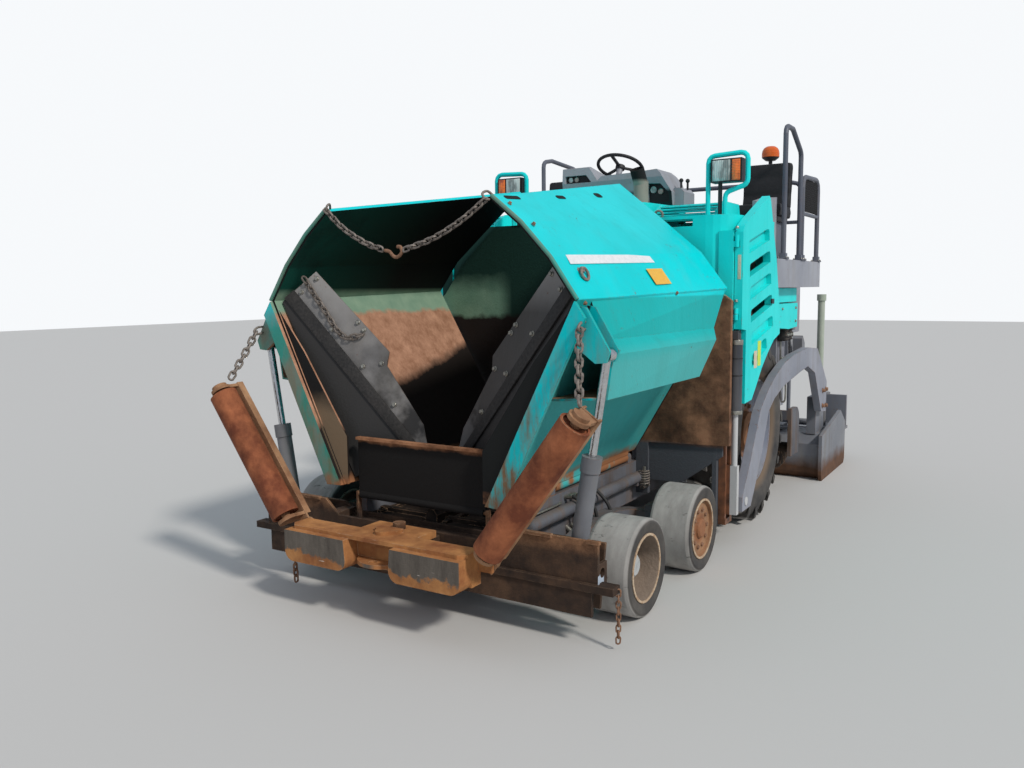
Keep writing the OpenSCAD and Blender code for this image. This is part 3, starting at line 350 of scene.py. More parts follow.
def modified(piece, kind, **values):
    only(piece)
    modifier = piece.modifiers.new(kind.lower(), kind)
    for key, value in values.items():
        setattr(modifier, key, value)
    bpy.ops.object.modifier_apply(modifier=modifier.name)


def settled(piece, name, material, angle=35, bevel=0.0, parts=2):
    only(piece)
    bpy.ops.object.transform_apply()
    if bevel:
        modified(piece, "BEVEL", width=bevel, segments=parts, limit_method="ANGLE",
            angle_limit=radians(40))
    bpy.ops.object.shade_smooth_by_angle(angle=radians(angle))
    piece.name = name
    piece.data.name = name
    piece.data.materials.clear()
    piece.data.materials.append(material)
    return piece


def repeated(piece, places):
    copies = []
    for place in places:
        copy = piece.copy()
        copy.data = piece.data.copy()
        copy.data.transform(place)
        scene.collection.objects.link(copy)
        copies.append(copy)
    name = piece.name
    bpy.data.objects.remove(piece)
    clear()
    for copy in copies:
        copy.select_set(True)
    bpy.context.view_layer.objects.active = copies[0]
    if len(copies) > 1:
        bpy.ops.object.join()
    copies[0].name = name
    copies[0].data.name = name
    return copies[0]


def facing(place, way, roll=0.0):
    turn = Vector(way).to_track_quat("Z", "Y").to_matrix().to_4x4()
    return Matrix.Translation(place) @ turn @ Matrix.Rotation(roll, 4, "Z")


def bolt_head(name, size, material):
    clear()
    bpy.ops.mesh.primitive_cylinder_add(vertices=6, radius=size * 0.58, depth=size * 0.6,
        location=(0, 0, size * 0.45))
    piece = bpy.context.object
    pick_side(piece, (0, 0, -1))
    bpy.ops.mesh.inset(thickness=0.0, depth=0.0)
    bpy.ops.transform.resize(value=(1.45, 1.45, 1), center_override=(0, 0, size * 0.15))
    bpy.ops.mesh.extrude_region_move(TRANSFORM_OT_translate={"value": (0, 0, -size * 0.15)})
    return settled(piece, name, material, bevel=size * 0.06, parts=1)


def bolts(name, size, material, places, body):
    return carry(repeated(bolt_head(name, size, material), places), body)


def bolt_ring(x, y, z, around, count, sign):
    turns = [2 * pi * k / count for k in range(count)]
    spots = [(x, y + around * cos(a), z + around * sin(a)) for a in turns]
    return [facing(spot, (sign, 0, 0), k) for k, spot in enumerate(spots)]


def from_axis(tree, axis_y, axis_z):
    x, y, z = axes(tree)
    dy = number("SUBTRACT", y, axis_y)
    dz = number("SUBTRACT", z, axis_z)
    return number("SQRT", number("ADD", times(dy, dy), times(dz, dz)))


def rubber_finish(name, axis_y, axis_z, radius):
    material, tree = new_material(name)
    out = from_axis(tree, axis_y, axis_z)
    run = step(out, radius - 0.016, radius - 0.004)
    patches = patchy(tree, 0.3, 0.7, 5, (2.5, 1, 1), 6, 0.65)
    nicks = patchy(tree, 0.6, 0.68, 28, (0.35, 1, 1), 7, 0.75)
    tread = mixed(patches, (0.27, 0.257, 0.243), (0.43, 0.412, 0.39))
    tread = mixed(nicks, tread, (0.055, 0.055, 0.055))
    wall = mixed(patches, (0.035, 0.034, 0.035), (0.105, 0.095, 0.085))
    wall = mixed(step(out, radius * 0.68, radius * 0.6), wall, (0.16, 0.115, 0.08))
    finish(tree, mixed(run, wall, tread), mixed(run, 0.7, 0.88), nicks, 0.0012, shine=0.25,
        soft_edge=0.006)
    return material


def rim_finish(name, axis_y, hub_colour, dish):
    material, tree = new_material(name)
    out = from_axis(tree, axis_y, axle_z)
    patches = patchy(tree, 0.3, 0.7, 8, detail=6, roughness=0.65)
    grain = patchy(tree, 0.3, 0.7, 60, detail=4)
    plate = mixed(patches, dish, [c * 1.5 for c in dish])
    edge = mixed(grain, (0.34, 0.2, 0.11), (0.58, 0.47, 0.34))
    hub = mixed(patches, hub_colour, [c * 1.7 for c in hub_colour])
    ring = times(step(out, 0.15, 0.158), step(number("ABSOLUTE", axes(tree)[0]), 1.187, 1.192))
    colour = mixed(ring, mixed(step(out, 0.105, 0.085), plate, hub), edge)
    finish(tree, colour, mixed(patches, 0.5, 0.8), grain, 0.0015, shine=0.3, soft_edge=0.004)
    return material


rusty_bolts = plain("rusty_bolts", (0.09, 0.04, 0.022), (0.36, 0.2, 0.12), (0.6, 0.9))
axles = [(1, -2.15, (0.3, 0.31, 0.31), (0.2, 0.155, 0.12)), (2, -1.265, (0.2, 0.085, 0.038),
    (0.24, 0.13, 0.07))]
for i, wheel_y, hub_colour, dish in axles:
    tyre_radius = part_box(f"tyre_{i}_left")[1][2] - axle_z
    rubber = rubber_finish(f"band_rubber_{i}", wheel_y, axle_z, tyre_radius)
    rim_steel = rim_finish(f"rim_steel_{i}", wheel_y, hub_colour, dish)
    for side, sign in sides:
        dress([f"tyre_{i}_{side}"], rubber)
        dress([f"rim_{i}_{side}"], rim_steel)
        if i == 2:
            plate_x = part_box(f"rim_2_{side}")[sign > 0][0] - sign * 0.03
            spots = bolt_ring(plate_x, wheel_y, axle_z, 0.118, 10, sign)
            bolts(f"hub_bolts_2_{side}", 0.024, rusty_bolts, spots, f"wheel_2_{side}")


# Driving wheels: earth-mover tyres with two rows of slanting lugs, worn grey and caked with
# rust dust, on rims sprayed blue-grey that have rusted round the hub and its ring of nuts.
tyre_rubber = rubber_finish("driving_tyre", 0.12, 0.6825, 0.6825)
wheel_low, wheel_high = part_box("tyre_rear_left")
tyre_mid, hub_y, hub_z = [(a + b) / 2 for a, b in zip(wheel_low, wheel_high)]
tyre_half = (wheel_high[0] - wheel_low[0]) / 2
tyre_r = (wheel_high[2] - wheel_low[2]) / 2
rim_low, rim_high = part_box("rim_rear_left")
rim_r = (rim_high[2] - rim_low[2]) / 2
wall = [(tyre_half - x, rim_r + r) for x, r in ((0.04, 0.001), (0.026, 0.012), (0.02, 0.03),
    (0.006, 0.075), (0.002, 0.11), (0.0, 0.16))]
wall += [(tyre_half - x, tyre_r - r) for x, r in ((0.01, 0.085), (0.022, 0.055), (0.046, 0.034),
    (0.08, 0.028), (tyre_half, 0.024))]
section = wall + [(-x, r) for x, r in wall[-2::-1]]
lug_count = 22
mirror = Matrix.Scale(-1, 4, (1, 0, 0))


def cube(location, scale):
    clear()
    bpy.ops.mesh.primitive_cube_add(size=1, location=location, scale=scale)
    bpy.ops.object.transform_apply()
    return bpy.context.object


def on_side(piece, sign):
    if sign < 0:
        piece.data.transform(mirror)
        piece.data.flip_normals()
    return piece


for side, sign in sides:
    clear()
    bpy.ops.mesh.primitive_circle_add(vertices=3, radius=0.01)
    carcass = bpy.context.object
    mesh = bmesh.new()
    corners = [mesh.verts.new((tyre_mid + x, hub_y, hub_z + r)) for x, r in section]
    for a, b in zip(corners, corners[1:]):
        mesh.edges.new((a, b))
    mesh.to_mesh(carcass.data)
    mesh.free()
    bpy.ops.object.mode_set(mode="EDIT")
    bpy.ops.mesh.select_all(action="SELECT")
    bpy.ops.mesh.spin(steps=72, angle=2 * pi, center=(tyre_mid, hub_y, hub_z), axis=(1, 0, 0))
    bpy.ops.mesh.select_all(action="SELECT")
    bpy.ops.mesh.remove_doubles(threshold=0.0002)
    bpy.ops.mesh.normals_make_consistent(inside=False)
    carcass = settled(carcass, f"carcass_{side}", tyre_rubber, 40)
    centre = Vector((tyre_mid, hub_y, hub_z))
    outward = sum((f.center - centre).dot(f.normal) > 0 for f in carcass.data.polygons)
    if outward < len(carcass.data.polygons) / 2:
        carcass.data.flip_normals()

    lug = cube((0, 0, 0), (tyre_half * 0.86, 0.05, 0.05))
    lug.data.transform(Matrix.Translation((tyre_half * 0.47, 0, tyre_r - 0.0262)))
    pick_side(lug, (1, 0, 0))
    bpy.ops.transform.translate(value=(0.0, 0.055, -0.006))
    bpy.ops.transform.resize(value=(1, 1.25, 1), center_override=(0, 0.055, tyre_r - 0.032))
    bpy.ops.mesh.extrude_region_move(TRANSFORM_OT_translate={"value": (0.02, 0.012, -0.055)})
    lug = settled(lug, f"lugs_{side}", tyre_rubber, 30, bevel=0.006)
    turns = [Matrix.Rotation(pi * k / lug_count, 4, "X") for k in range(2 * lug_count)]
    row = [Matrix.Translation(centre) @ turn for turn in turns[::2]]
    row += [Matrix.Translation(centre) @ turn @ mirror for turn in turns[1::2]]
    lugs = repeated(lug, row)
    pick(lugs, lambda centre, normal: True)
    bpy.ops.mesh.normals_make_consistent(inside=False)
    only(carcass)
    lugs.select_set(True)
    bpy.ops.object.join()
    carcass.name = f"driving_tyre_{side}"
    carry(on_side(carcass, sign), f"wheel_rear_{side}")
    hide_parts(f"tyre_rear_{side}")


def uneven(value, amount, *noise, **more):
    return number("ADD", value, times(cloud(value.id_data, *noise, **more), amount))


def hub_rust(tree, colour, rough):
    near = step(uneven(from_axis(tree, hub_y, hub_z), 0.12, 9, detail=6), 0.3, 0.22)
    tone = mixed(cloud(tree, 14, detail=6), (0.1, 0.045, 0.025), (0.36, 0.17, 0.08))
    return mixed(near, colour, tone), mixed(near, rough, 0.85)


dress(both("rim_rear"), paint("rear_rim_paint", (0.17, 0.19, 0.25), (0.26, 0.28, 0.33), 0.8, 0.6,
    hub_rust))
for side, sign in sides:
    bolts(f"wheel_nuts_{side}", 0.03, rusty_bolts, bolt_ring(sign * 1.02, hub_y, hub_z, 0.2, 12, sign),
        f"wheel_rear_{side}")


# Bulkhead, front beam, apron and crossbar: thick plates burnt clean by heat and grit,
# so they are rusty all over, with tar in the corners and bright scraped edges. Inside the
# hopper the bulkhead is painted dark green and near black as painted shade.
def rusty(name, dark, bright, scale=7.0, scraped=0.25, grain=0.0022, soot_share=0.6, special=None):
    material, tree = new_material(name)
    base = mixed(patchy(tree, 0.36, 0.66, scale, detail=6, roughness=0.65), dark, bright)
    streaks = patchy(tree, 0.5, 0.75, 14, (1, 1, 0.12), 5)
    base = mixed(times(streaks, 0.45), base, [c * 0.5 for c in dark])
    soot = patchy(tree, 0.47, 0.62, 2.3, detail=5)
    base = mixed(times(soot, soot_share), base, [c * 0.25 for c in dark])
    bright_edge = times(edges(tree, 0.008), patchy(tree, 0.62 - 0.3 * scraped, 0.7 - 0.2 * scraped, 13,
        detail=5, roughness=0.7))
    colour = mixed(bright_edge, base, (0.48, 0.3, 0.18))
    rough = mixed(bright_edge, 0.85, 0.55)
    grains = patchy(tree, 0.2, 0.8, 55, detail=8, roughness=0.75)
    if special:
        colour, rough = special(tree, colour, rough)
    finish(tree, colour, rough, grains, grain, shine=0.25, soft_edge=0.003)
    return material


# Inside the hopper the bulkhead carries painted shade: its green band is dark green except on the outer
# lower part, and below the band it is near black as a painted shadow. Outside the hopper it stays
# rusty, with a grey plate at the foot.
def green_top_with_painted_shade(tree, colour, rough):
    x, y, z = axes(tree)
    aside = number("ABSOLUTE", x)
    level = uneven(z, 0.12, 6, detail=6)
    tone = mixed(cloud(tree, 7, detail=5), (0.1, 0.24, 0.17), (0.24, 0.4, 0.29))
    pale = times(step(aside, 0.5, 0.62), step(level, 1.96, 1.8))
    # painted shade: dark green over the centre and top of the green band
    tone = mixed(pale, (0.008, 0.04, 0.03), tone)
    inside_with_painted_shade = mixed(step(level, 1.62, 1.66), (0.014, 0.011, 0.01), tone)
    inward = number("SUBTRACT", aside, times(z, 0.58))
    colour = mixed(step(inward, 0.16, 0.15), colour, inside_with_painted_shade)
    return mixed(step(z, 0.72, 0.69), colour, (0.075, 0.08, 0.092)), rough


def end_patch(tree, colour, rough):
    x, y, z = axes(tree)
    end = times(step(axes(tree, "Normal")[0], 0.9, 0.95), step(x, 1.1535, 1.1545), step(x, 1.17, 1.165))
    end = times(end, step(y, -2.6, -2.61), step(z, 0.375, 0.37), step(z, 0.295, 0.3))
    colour = mixed(times(step(z, 0.52, 0.46), 0.75), colour, (0.022, 0.018, 0.016))
    return mixed(end, colour, (0.42, 0.48, 0.56)), rough


def worn_pads(tree, colour, rough):
    x, y, z = axes(tree)
    front = step(axes(tree, "Normal")[1], -0.85, -0.95)
    worn = times(front, step(y, -3.055, -3.062), step(uneven(z, 0.26, 8, detail=6, roughness=0.65),
        0.455, 0.475))
    streaks = patchy(tree, 0.35, 0.68, 7, (1, 1, 0.25), 7, 0.7)
    worn_tone = mixed(streaks, (0.07, 0.058, 0.048), (0.165, 0.14, 0.115))
    scrape = times(front, patchy(tree, 0.7, 0.73, 11, (0.5, 1, 5), 3))
    colour = mixed(worn, colour, worn_tone)
    return mixed(scrape, colour, (0.62, 0.56, 0.48)), rough


dress(["bulkhead"], rusty("brown_steel", (0.105, 0.055, 0.033), (0.36, 0.18, 0.1), special=green_top_with_painted_shade))
dress(["front_beam"], rusty("beam_steel", (0.075, 0.035, 0.02), (0.36, 0.185, 0.095), special=end_patch,
    scraped=0.6))
dress(["crossbar"], rusty("orange_steel", (0.26, 0.095, 0.035), (0.52, 0.24, 0.085), 5.0, 0.5,
    soot_share=0.15, special=worn_pads))


def tarred(tree, colour, rough):
    z = axes(tree)[2]
    low = step(uneven(z, 0.05, 9, detail=5), 0.93, 0.91)
    return mixed(low, colour, (0.009, 0.008, 0.0075)), rough


dress(["apron"], rusty("apron_steel", (0.16, 0.065, 0.03), (0.42, 0.2, 0.1), special=tarred))
tar = rusty("tarred_steel", (0.018, 0.014, 0.012), (0.075, 0.05, 0.036), scraped=0.6)
dress(["conveyor", *both("auger")], tar)

# Push rollers: turned tubes on channel arms. The tubes are brown and worn smooth, the arms a
# lighter tan, and the shaft ends sit in blocks held by a round cap.
dress(both("push_roller"), rusty("roller_brown", (0.15, 0.042, 0.02), (0.4, 0.135, 0.058), 6.0, 0.3,
    soot_share=0.25))
dress(both("roller_arm"), rusty("arm_tan", (0.22, 0.105, 0.055), (0.46, 0.26, 0.14), 5.0, 0.5,
    soot_share=0.2))


# Hopper wings: bent sheet, bright turquoise outside, with painted shade below the fold and on
# the front web. Inside the paint is gone: heat and grit have left brown steel with a pale green
# strip under the fold, a painted cast shadow turning it near black lower down, and a roof of dark
# green and soot, with painted shade deepening towards the rear.
def hopper_side(tree, colour, rough):
    x, y, z = axes(tree)
    nx, ny, nz = axes(tree, "Normal")
    across = times(nx, x, -1.0)
    upward = times(nz, number("SUBTRACT", 1.5, z))
    inner = step(number("ADD", across, upward), 0.05, 0.12)
    level = uneven(z, 0.1, 7, detail=6)
    brown = mixed(patchy(tree, 0.3, 0.7, 11, detail=7, roughness=0.7), (0.27, 0.13, 0.075),
        (0.56, 0.31, 0.2))
    # painted cast shadow: the brown turns near black below a line that slopes along the wing
    cast_shadow = step(number("SUBTRACT", level, times(y, 0.2)), 1.6, 1.54)
    brown = mixed(cast_shadow, brown, (0.018, 0.014, 0.012))
    strip_tone = mixed(cloud(tree, 9, detail=5), (0.13, 0.25, 0.18), (0.3, 0.42, 0.3))
    panel = mixed(step(level, 1.67, 1.7), brown, strip_tone)
    # the roof's underside is dark green at the front and near black towards the rear: soot patches, and
    # painted shade deeper inside the hopper
    soot = times(patchy(tree, 0.35, 0.65, 4, detail=5), 0.5)
    roof = mixed(number("MAXIMUM", step(y, -2.7, -1.5), soot), (0.006, 0.075, 0.055),
        (0.006, 0.008, 0.008))
    colour = mixed(inner, colour, mixed(step(z, 1.76, 1.8), panel, roof))
    front = step(ny, -0.85, -0.95)
    streak = patchy(tree, 0.4, 0.6, 12, (1, 1, 0.25), 6, 0.65)
    worn = times(front, step(z, 1.75, 0.75), 1.3, streak)
    faded = mixed(cloud(tree, 8, detail=5), (0.3, 0.22, 0.13), (0.17, 0.075, 0.035))
    colour = mixed(number("MINIMUM", worn, 1.0), colour, faded)
    right = step(x, -0.1, -0.2)
    dull = times(right, step(level, 1.8, 1.6), front, 0.85)
    dull_tone = mixed(patchy(tree, 0.45, 0.6, 6, (1, 1, 0.5), 6), (0.21, 0.165, 0.105),
        (0.05, 0.23, 0.16))
    colour = mixed(dull, colour, dull_tone)
    # painted shade: the front web beside the flange is near black, except low on the right wing, where
    # it keeps its tan steel colour
    edge = number("SUBTRACT", number("ABSOLUTE", x), times(z, 0.497))
    shade = times(front, step(y, -2.69, -2.68), step(edge, 0.225, 0.215))
    web_shade_and_tan = mixed(times(right, step(level, 1.25, 1.1)), (0.012, 0.013, 0.013), (0.19, 0.135, 0.085))
    colour = mixed(shade, colour, web_shade_and_tan)
    # painted shade: the outer skin below the fold is mixed towards deep green up to the ledge, and
    # lower down towards a greyer green that is partly weathered paint
    lower = times(step(z, 1.735, 1.725), 0.46, step(ny, -0.9, -0.8), number("SUBTRACT", 1.0, inner))
    ledge_shade_tint = mixed(step(z, 1.5, 1.4), (0.01, 0.17, 0.12), (0.13, 0.19, 0.135))
    colour = mixed(lower, colour, ledge_shade_tint)
    hinge = times(step(level, 0.76, 0.7), patchy(tree, 0.38, 0.48, 5, detail=5))
    colour = mixed(hinge, colour, (0.3, 0.13, 0.06))
    return colour, mixed(inner, rough, 0.8)


dress(both("wing"), paint("wing_paint", (0.0, 0.57, 0.6), (0.002, 0.66, 0.7), 0.55, 0.13, hopper_side,
    shine=0.12))


# Corner plates: flat steel flaps that close the hopper's front corners, turned about all
# three axes. Their grey paint is stained black by tar at the foot and along the edges, and the
# near plate is painted dark below its top end as painted shadow.
corner_frame = Matrix.Translation((0.9552, -2.599, 1.7744))
for angle, axis in ((166.1018, "Z"), (48.4605, "Y"), (104.0885, "X")):
    corner_frame = corner_frame @ Matrix.Rotation(radians(angle), 4, axis)


def stained_and_shaded(tree, colour, rough):
    x, y, z = axes(tree)
    stain = times(step(z, 1.75, 1.05), patchy(tree, 0.3, 0.6, 6, detail=6))
    way = corner_frame.col[1]
    across = times(number("ABSOLUTE", x), way[0])
    across = number("ADD", across, times(y, way[1]))
    across = number("ADD", across, times(z, way[2]))
    from_edge = number("SUBTRACT", across, corner_frame.translation.xyz.dot(way.xyz))
    stain = number("MAXIMUM", stain, step(from_edge, -0.02, -0.045))
    # painted shadow: the near plate goes dark below its top end
    near = times(step(x, 0.0, 0.3), step(z, 1.86, 1.66))
    stain = number("MAXIMUM", stain, times(near, 0.85))
    return mixed(stain, colour, (0.03, 0.028, 0.027)), rough


dress(both("corner_plate"), paint("plate_grey", (0.21, 0.2, 0.195), (0.32, 0.31, 0.3), 0.5, 0.4,
    stained_and_shaded))

# Hopper tip cylinders and the screed's lift cylinders: drawn tube in grey paint, rods of
# hard chrome with a film of dust, and welded eyes.
chrome = plain("rod_chrome", (0.45, 0.45, 0.46), (0.72, 0.72, 0.72), (0.12, 0.3), metal=1.0)
dress([n for n in cad if n.endswith(("barrel_left", "barrel_right"))],
    paint("barrel_grey", (0.125, 0.13, 0.145), (0.2, 0.205, 0.22), 0.35, 0.5))
dress([n for n in cad if n.endswith(("rod_left", "rod_right"))], chrome)


# Hood, doors, side boxes and lamp guards: pressed sheet in the same turquoise, still glossy,
# with the engine, the radiators' brown fins and the soot-black exhaust behind and above.
def behind_hopper(tree, colour, rough):
    x, y, z = axes(tree)
    facing_front = times(step(x, 0.5, 0.4), step(axes(tree, "Normal")[1], -0.85, -0.9))
    # painted shade: the hood's front face inside the hopper is painted dark green
    hood_front_shade = times(facing_front, step(y, -0.725, -0.73))
    return mixed(hood_front_shade, colour, (0.008, 0.04, 0.032)), mixed(hood_front_shade, rough, 0.8)


dress(["hood", "side_boxes", "lamp_guards", *both("louvre_door")],
    paint("hood_paint", (0.0, 0.66, 0.65), (0.012, 0.76, 0.74), 0.3, 0.08, behind_hopper, shine=0.2))


def finned(name):
    material, tree = new_material(name)
    fins = add(tree, "ShaderNodeTexWave", wave_type="BANDS", bands_direction="Z", Scale=42.0)
    link(add(tree, "ShaderNodeTexCoord").outputs["Object"], fins.inputs["Vector"])
    patches = patchy(tree, 0.3, 0.7, 5, detail=6)
    colour = mixed(patches, (0.085, 0.06, 0.045), (0.22, 0.155, 0.115))
    colour = mixed(times(fins.outputs["Fac"], 0.5), colour, (0.045, 0.03, 0.022))
    finish(tree, colour, mixed(patches, 0.6, 0.9), fins.outputs["Fac"], 0.002)
    return material


dress(["engine"], finned("radiator_fins"))


def sooty(tree, colour, rough):
    z = axes(tree)[2]
    top = step(z, 2.56, 2.585)
    cream = mixed(cloud(tree, 8, detail=5), (0.33, 0.31, 0.26), (0.2, 0.18, 0.15))
    return mixed(top, cream, (0.012, 0.012, 0.012)), mixed(top, 0.6, 0.9)


dress(["exhaust"], paint("exhaust_steel", (0.3, 0.28, 0.24), (0.3, 0.28, 0.24), 0.3, 0.2, sooty))

# Platform, console and rails: grey painted sheet and tube. The console has dark recesses for
# its gauges, and the rails are a darker blue-grey.
dress(["platform"], paint("platform_grey", (0.25, 0.26, 0.3), (0.34, 0.35, 0.385), 0.35, 0.4))


def screed_marks(tree, colour, rough):
    x, y, z = axes(tree)
    post = times(step(number("ABSOLUTE", x), 1.095, 1.1), step(z, 0.78, 0.8))
    cream = mixed(cloud(tree, 9, detail=5), (0.27, 0.34, 0.25), (0.46, 0.48, 0.42))
    colour = mixed(post, colour, cream)
    low = step(uneven(z, 0.12, 8, detail=6), 0.28, 0.16)
    burnt = mixed(cloud(tree, 12, detail=6), (0.03, 0.022, 0.018), (0.2, 0.095, 0.05))
    return mixed(low, colour, burnt), mixed(low, rough, 0.85)


dress(["screed", *both("screed_extension")], paint("screed_paint", (0.13, 0.14, 0.165),
    (0.21, 0.22, 0.245), 0.7, 0.55, screed_marks))


def recessed(tree, colour, rough):
    y = axes(tree)[1]
    inside = times(step(y, 0.04, 0.046), step(y, 0.1, 0.09), step(axes(tree, "Normal")[1], -0.9, -0.95))
    return mixed(inside, colour, (0.012, 0.012, 0.013)), rough


dress(["console"], paint("console_grey", (0.27, 0.28, 0.31), (0.34, 0.35, 0.38), 0.25, 0.3, recessed))
rail_paint = paint("rail_paint", (0.085, 0.095, 0.125), (0.13, 0.14, 0.17), 0.3, 0.2)
dress(["rails"], rail_paint)
black = plain("black_plastic", (0.01, 0.01, 0.011), (0.03, 0.03, 0.032), (0.4, 0.65))
dress(["steering_wheel", "seats"], black)


# Levelling cylinders on the hood's front posts: dark barrels with chrome rods, whose tow
# point slides between rusty guide rails. The tow arms are scraped bare grey along their tops.
def rods_and_guides(tree, colour, rough):
    x, y, z = axes(tree)
    low = step(z, 0.932, 0.928)
    rod = times(low, step(number("ABSOLUTE", x), 1.1835, 1.1845))
    brown = mixed(patchy(tree, 0.35, 0.65, 10, detail=6), (0.05, 0.03, 0.022), (0.22, 0.09, 0.045))
    colour = mixed(low, colour, brown)
    return mixed(rod, colour, (0.5, 0.5, 0.5)), mixed(rod, rough, 0.3)


dress(["levelling_cylinders"], paint("levelling_grey", (0.045, 0.048, 0.058), (0.09, 0.095, 0.11), 0.3,
    0.4, rods_and_guides))
dress(["tow_arms"], paint("arm_grey", (0.2, 0.215, 0.26), (0.3, 0.31, 0.36), 0.75, 0.5))


# Trim of the hopper wings: a rolled rim along the roof's front edge, black rubber strips and
# bolts on the corner plates, lifting rings, slots drawn as thin black plates of painted shade, and a
# bare white bar and yellow patch.
rim_green = paint("rim_green", (0.02, 0.3, 0.24), (0.1, 0.26, 0.2), 1.0, 0.5)
strip_rubber = plain("strip_rubber", (0.012, 0.012, 0.012), (0.05, 0.046, 0.044), (0.6, 0.9))
chain_steel = plain("chain_steel", (0.085, 0.07, 0.06), (0.36, 0.31, 0.27), (0.4, 0.75), 25, metal=0.3)
white_film = plain("white_film", (0.62, 0.64, 0.66), (0.82, 0.82, 0.82), (0.35, 0.6), 30)
yellow_film = plain("yellow_film", (0.7, 0.36, 0.03), (0.85, 0.5, 0.08), (0.35, 0.6), 30)
# painted shade: the roof slots are thin black plates standing in for openings
slot_shade = plain("slot_shade", (0.004, 0.005, 0.005), (0.012, 0.014, 0.013), (0.8, 0.95))
wing_front = -2.686
roof_edge = [(1.052, 1.729), (0.906, 1.937), (0.741, 2.112), (0.567, 2.252)]
strip_edge = [(-0.005, -0.058), (1.19, -0.055), (1.195, 0.012), (0.6, 0.02), (-0.003, 0.018)]
corner_bolts = [(0.036, 0.045), (0.338, 0.045), (0.638, 0.05), (0.941, 0.05), (0.413, 0.195),
    (0.472, 0.195), (0.036, 0.17), (0.7, 0.15)]
wing_studs = [((1.061, -2.627, 1.712), (0.89, 0, -0.46)), ((1.124, -1.584, 1.748), (0.88, 0, 0.4)),
    ((0.76, -2.6, 2.104), (0.63, 0, 0.78)), ((0.62, -2.6, 2.214), (0.63, 0, 0.78))]
roof_slots = [((0.574, -2.5, 2.256), 0.15, 0.03), ((0.53, -1.41, 2.362), 0.09, 0.045),
    ((0.56, -1.95, 2.304), 0.1, 0.03)]


def plate_piece(name, outline, thickness, material, place, bevel=0.002):
    clear()
    bpy.ops.mesh.primitive_circle_add(vertices=len(outline), radius=1, fill_type="NGON")
    piece = bpy.context.object
    for corner, (u, v) in zip(piece.data.vertices, outline):
        corner.co = (u, v, 0)
    pick(piece, lambda centre, normal: True)
    bpy.ops.mesh.extrude_region_move(TRANSFORM_OT_translate={"value": (0, 0, thickness)})
    bpy.ops.mesh.select_all(action="SELECT")
    bpy.ops.mesh.normals_make_consistent(inside=False)
    piece = settled(piece, name, material, bevel=bevel)
    piece.data.transform(place)
    return piece


def slot_outline(length, width, count=6):
    r = width / 2
    points = [(length / 2 - r + r * sin(pi * k / count), -r * cos(pi * k / count))
        for k in range(count + 1)]
    return points + [(-u, -v) for u, v in points]


def on_roof(place, normal, along):
    n = Vector(normal).normalized()
    u = (Vector(along) - n * n.dot(Vector(along))).normalized()
    turn = Matrix((u, n.cross(u), n)).transposed().to_4x4()
    return Matrix.Translation(Vector(place)) @ turn


for side, sign in sides:
    body = f"wing_{side}"
    edge = [Vector((sign * x, wing_front, z)) for x, z in roof_edge]
    line_piece(f"roof_rim_{side}", edge, 0.022, rim_green, body, 2)
    behind = corner_frame @ Matrix.Translation((0, 0, -0.0142))
    strip = plate_piece(f"corner_strip_{side}", strip_edge, 0.014, strip_rubber, behind)
    carry(on_side(strip, sign), body)
    turn = Matrix.Rotation(pi, 4, "X")
    spots = [corner_frame @ Matrix.Translation((u, v, -0.001)) @ turn for u, v in corner_bolts]
    heads = repeated(bolt_head(f"corner_bolts_{side}", 0.02, zinc), spots)
    carry(on_side(heads, sign), body)

    clear()
    bpy.ops.mesh.primitive_torus_add(major_radius=0.032, minor_radius=0.008, major_segments=24,
        minor_segments=8)
    ring = settled(bpy.context.object, f"lifting_ring_{side}", chain_steel, 60)
    lean = on_roof((0.99, -2.49, 1.852), (0.82, -0.07, 0.57), (0.0, 1.0, 0.1))
    ring.data.transform(lean @ Matrix.Translation((0, 0, 0.004)) @ Matrix.Rotation(0.25, 4, "X"))
    foot = bolt_head(f"ring_foot_{side}", 0.03, chain_steel)
    foot.data.transform(lean @ Matrix.Translation((0, 0.026, -0.012)))
    studs = repeated(bolt_head(f"wing_studs_{side}", 0.016, rusty_bolts),
        [facing(*stud) for stud in wing_studs])
    for piece in (ring, foot, studs):
        carry(on_side(piece, sign), body)
    for k, (place, length, width) in enumerate(roof_slots):
        lay = on_roof(place, (0.63, -0.05, 0.78), (0.03, 1, 0.09)) @ Matrix.Translation((0, 0, -0.0015))
        outline = slot_outline(length, width)
        slot = plate_piece(f"roof_slot_{side}_{k + 1}", outline, 0.003, slot_shade, lay, 0.0)
        carry(on_side(slot, sign), body)

bar = [(-0.47, -0.03), (0.47, -0.03), (0.465, 0.03), (-0.455, 0.03)]
patch = [(-0.1, -0.055), (0.1, -0.055), (0.1, 0.055), (-0.1, 0.055)]
bar_place = on_roof((0.952, -2.08, 1.938), (0.77, -0.062, 0.64), (0.06, 1, 0.026))
patch_place = on_roof((1.059, -1.69, 1.845), (0.81, -0.06, 0.59), (0.06, 1, 0.026))
for name, outline, film, lay in (("white_bar", bar, white_film, bar_place),
        ("yellow_patch", patch, yellow_film, patch_place)):
    carry(plate_piece(name, outline, 0.0016, film, lay, 0.0), "wing_left")


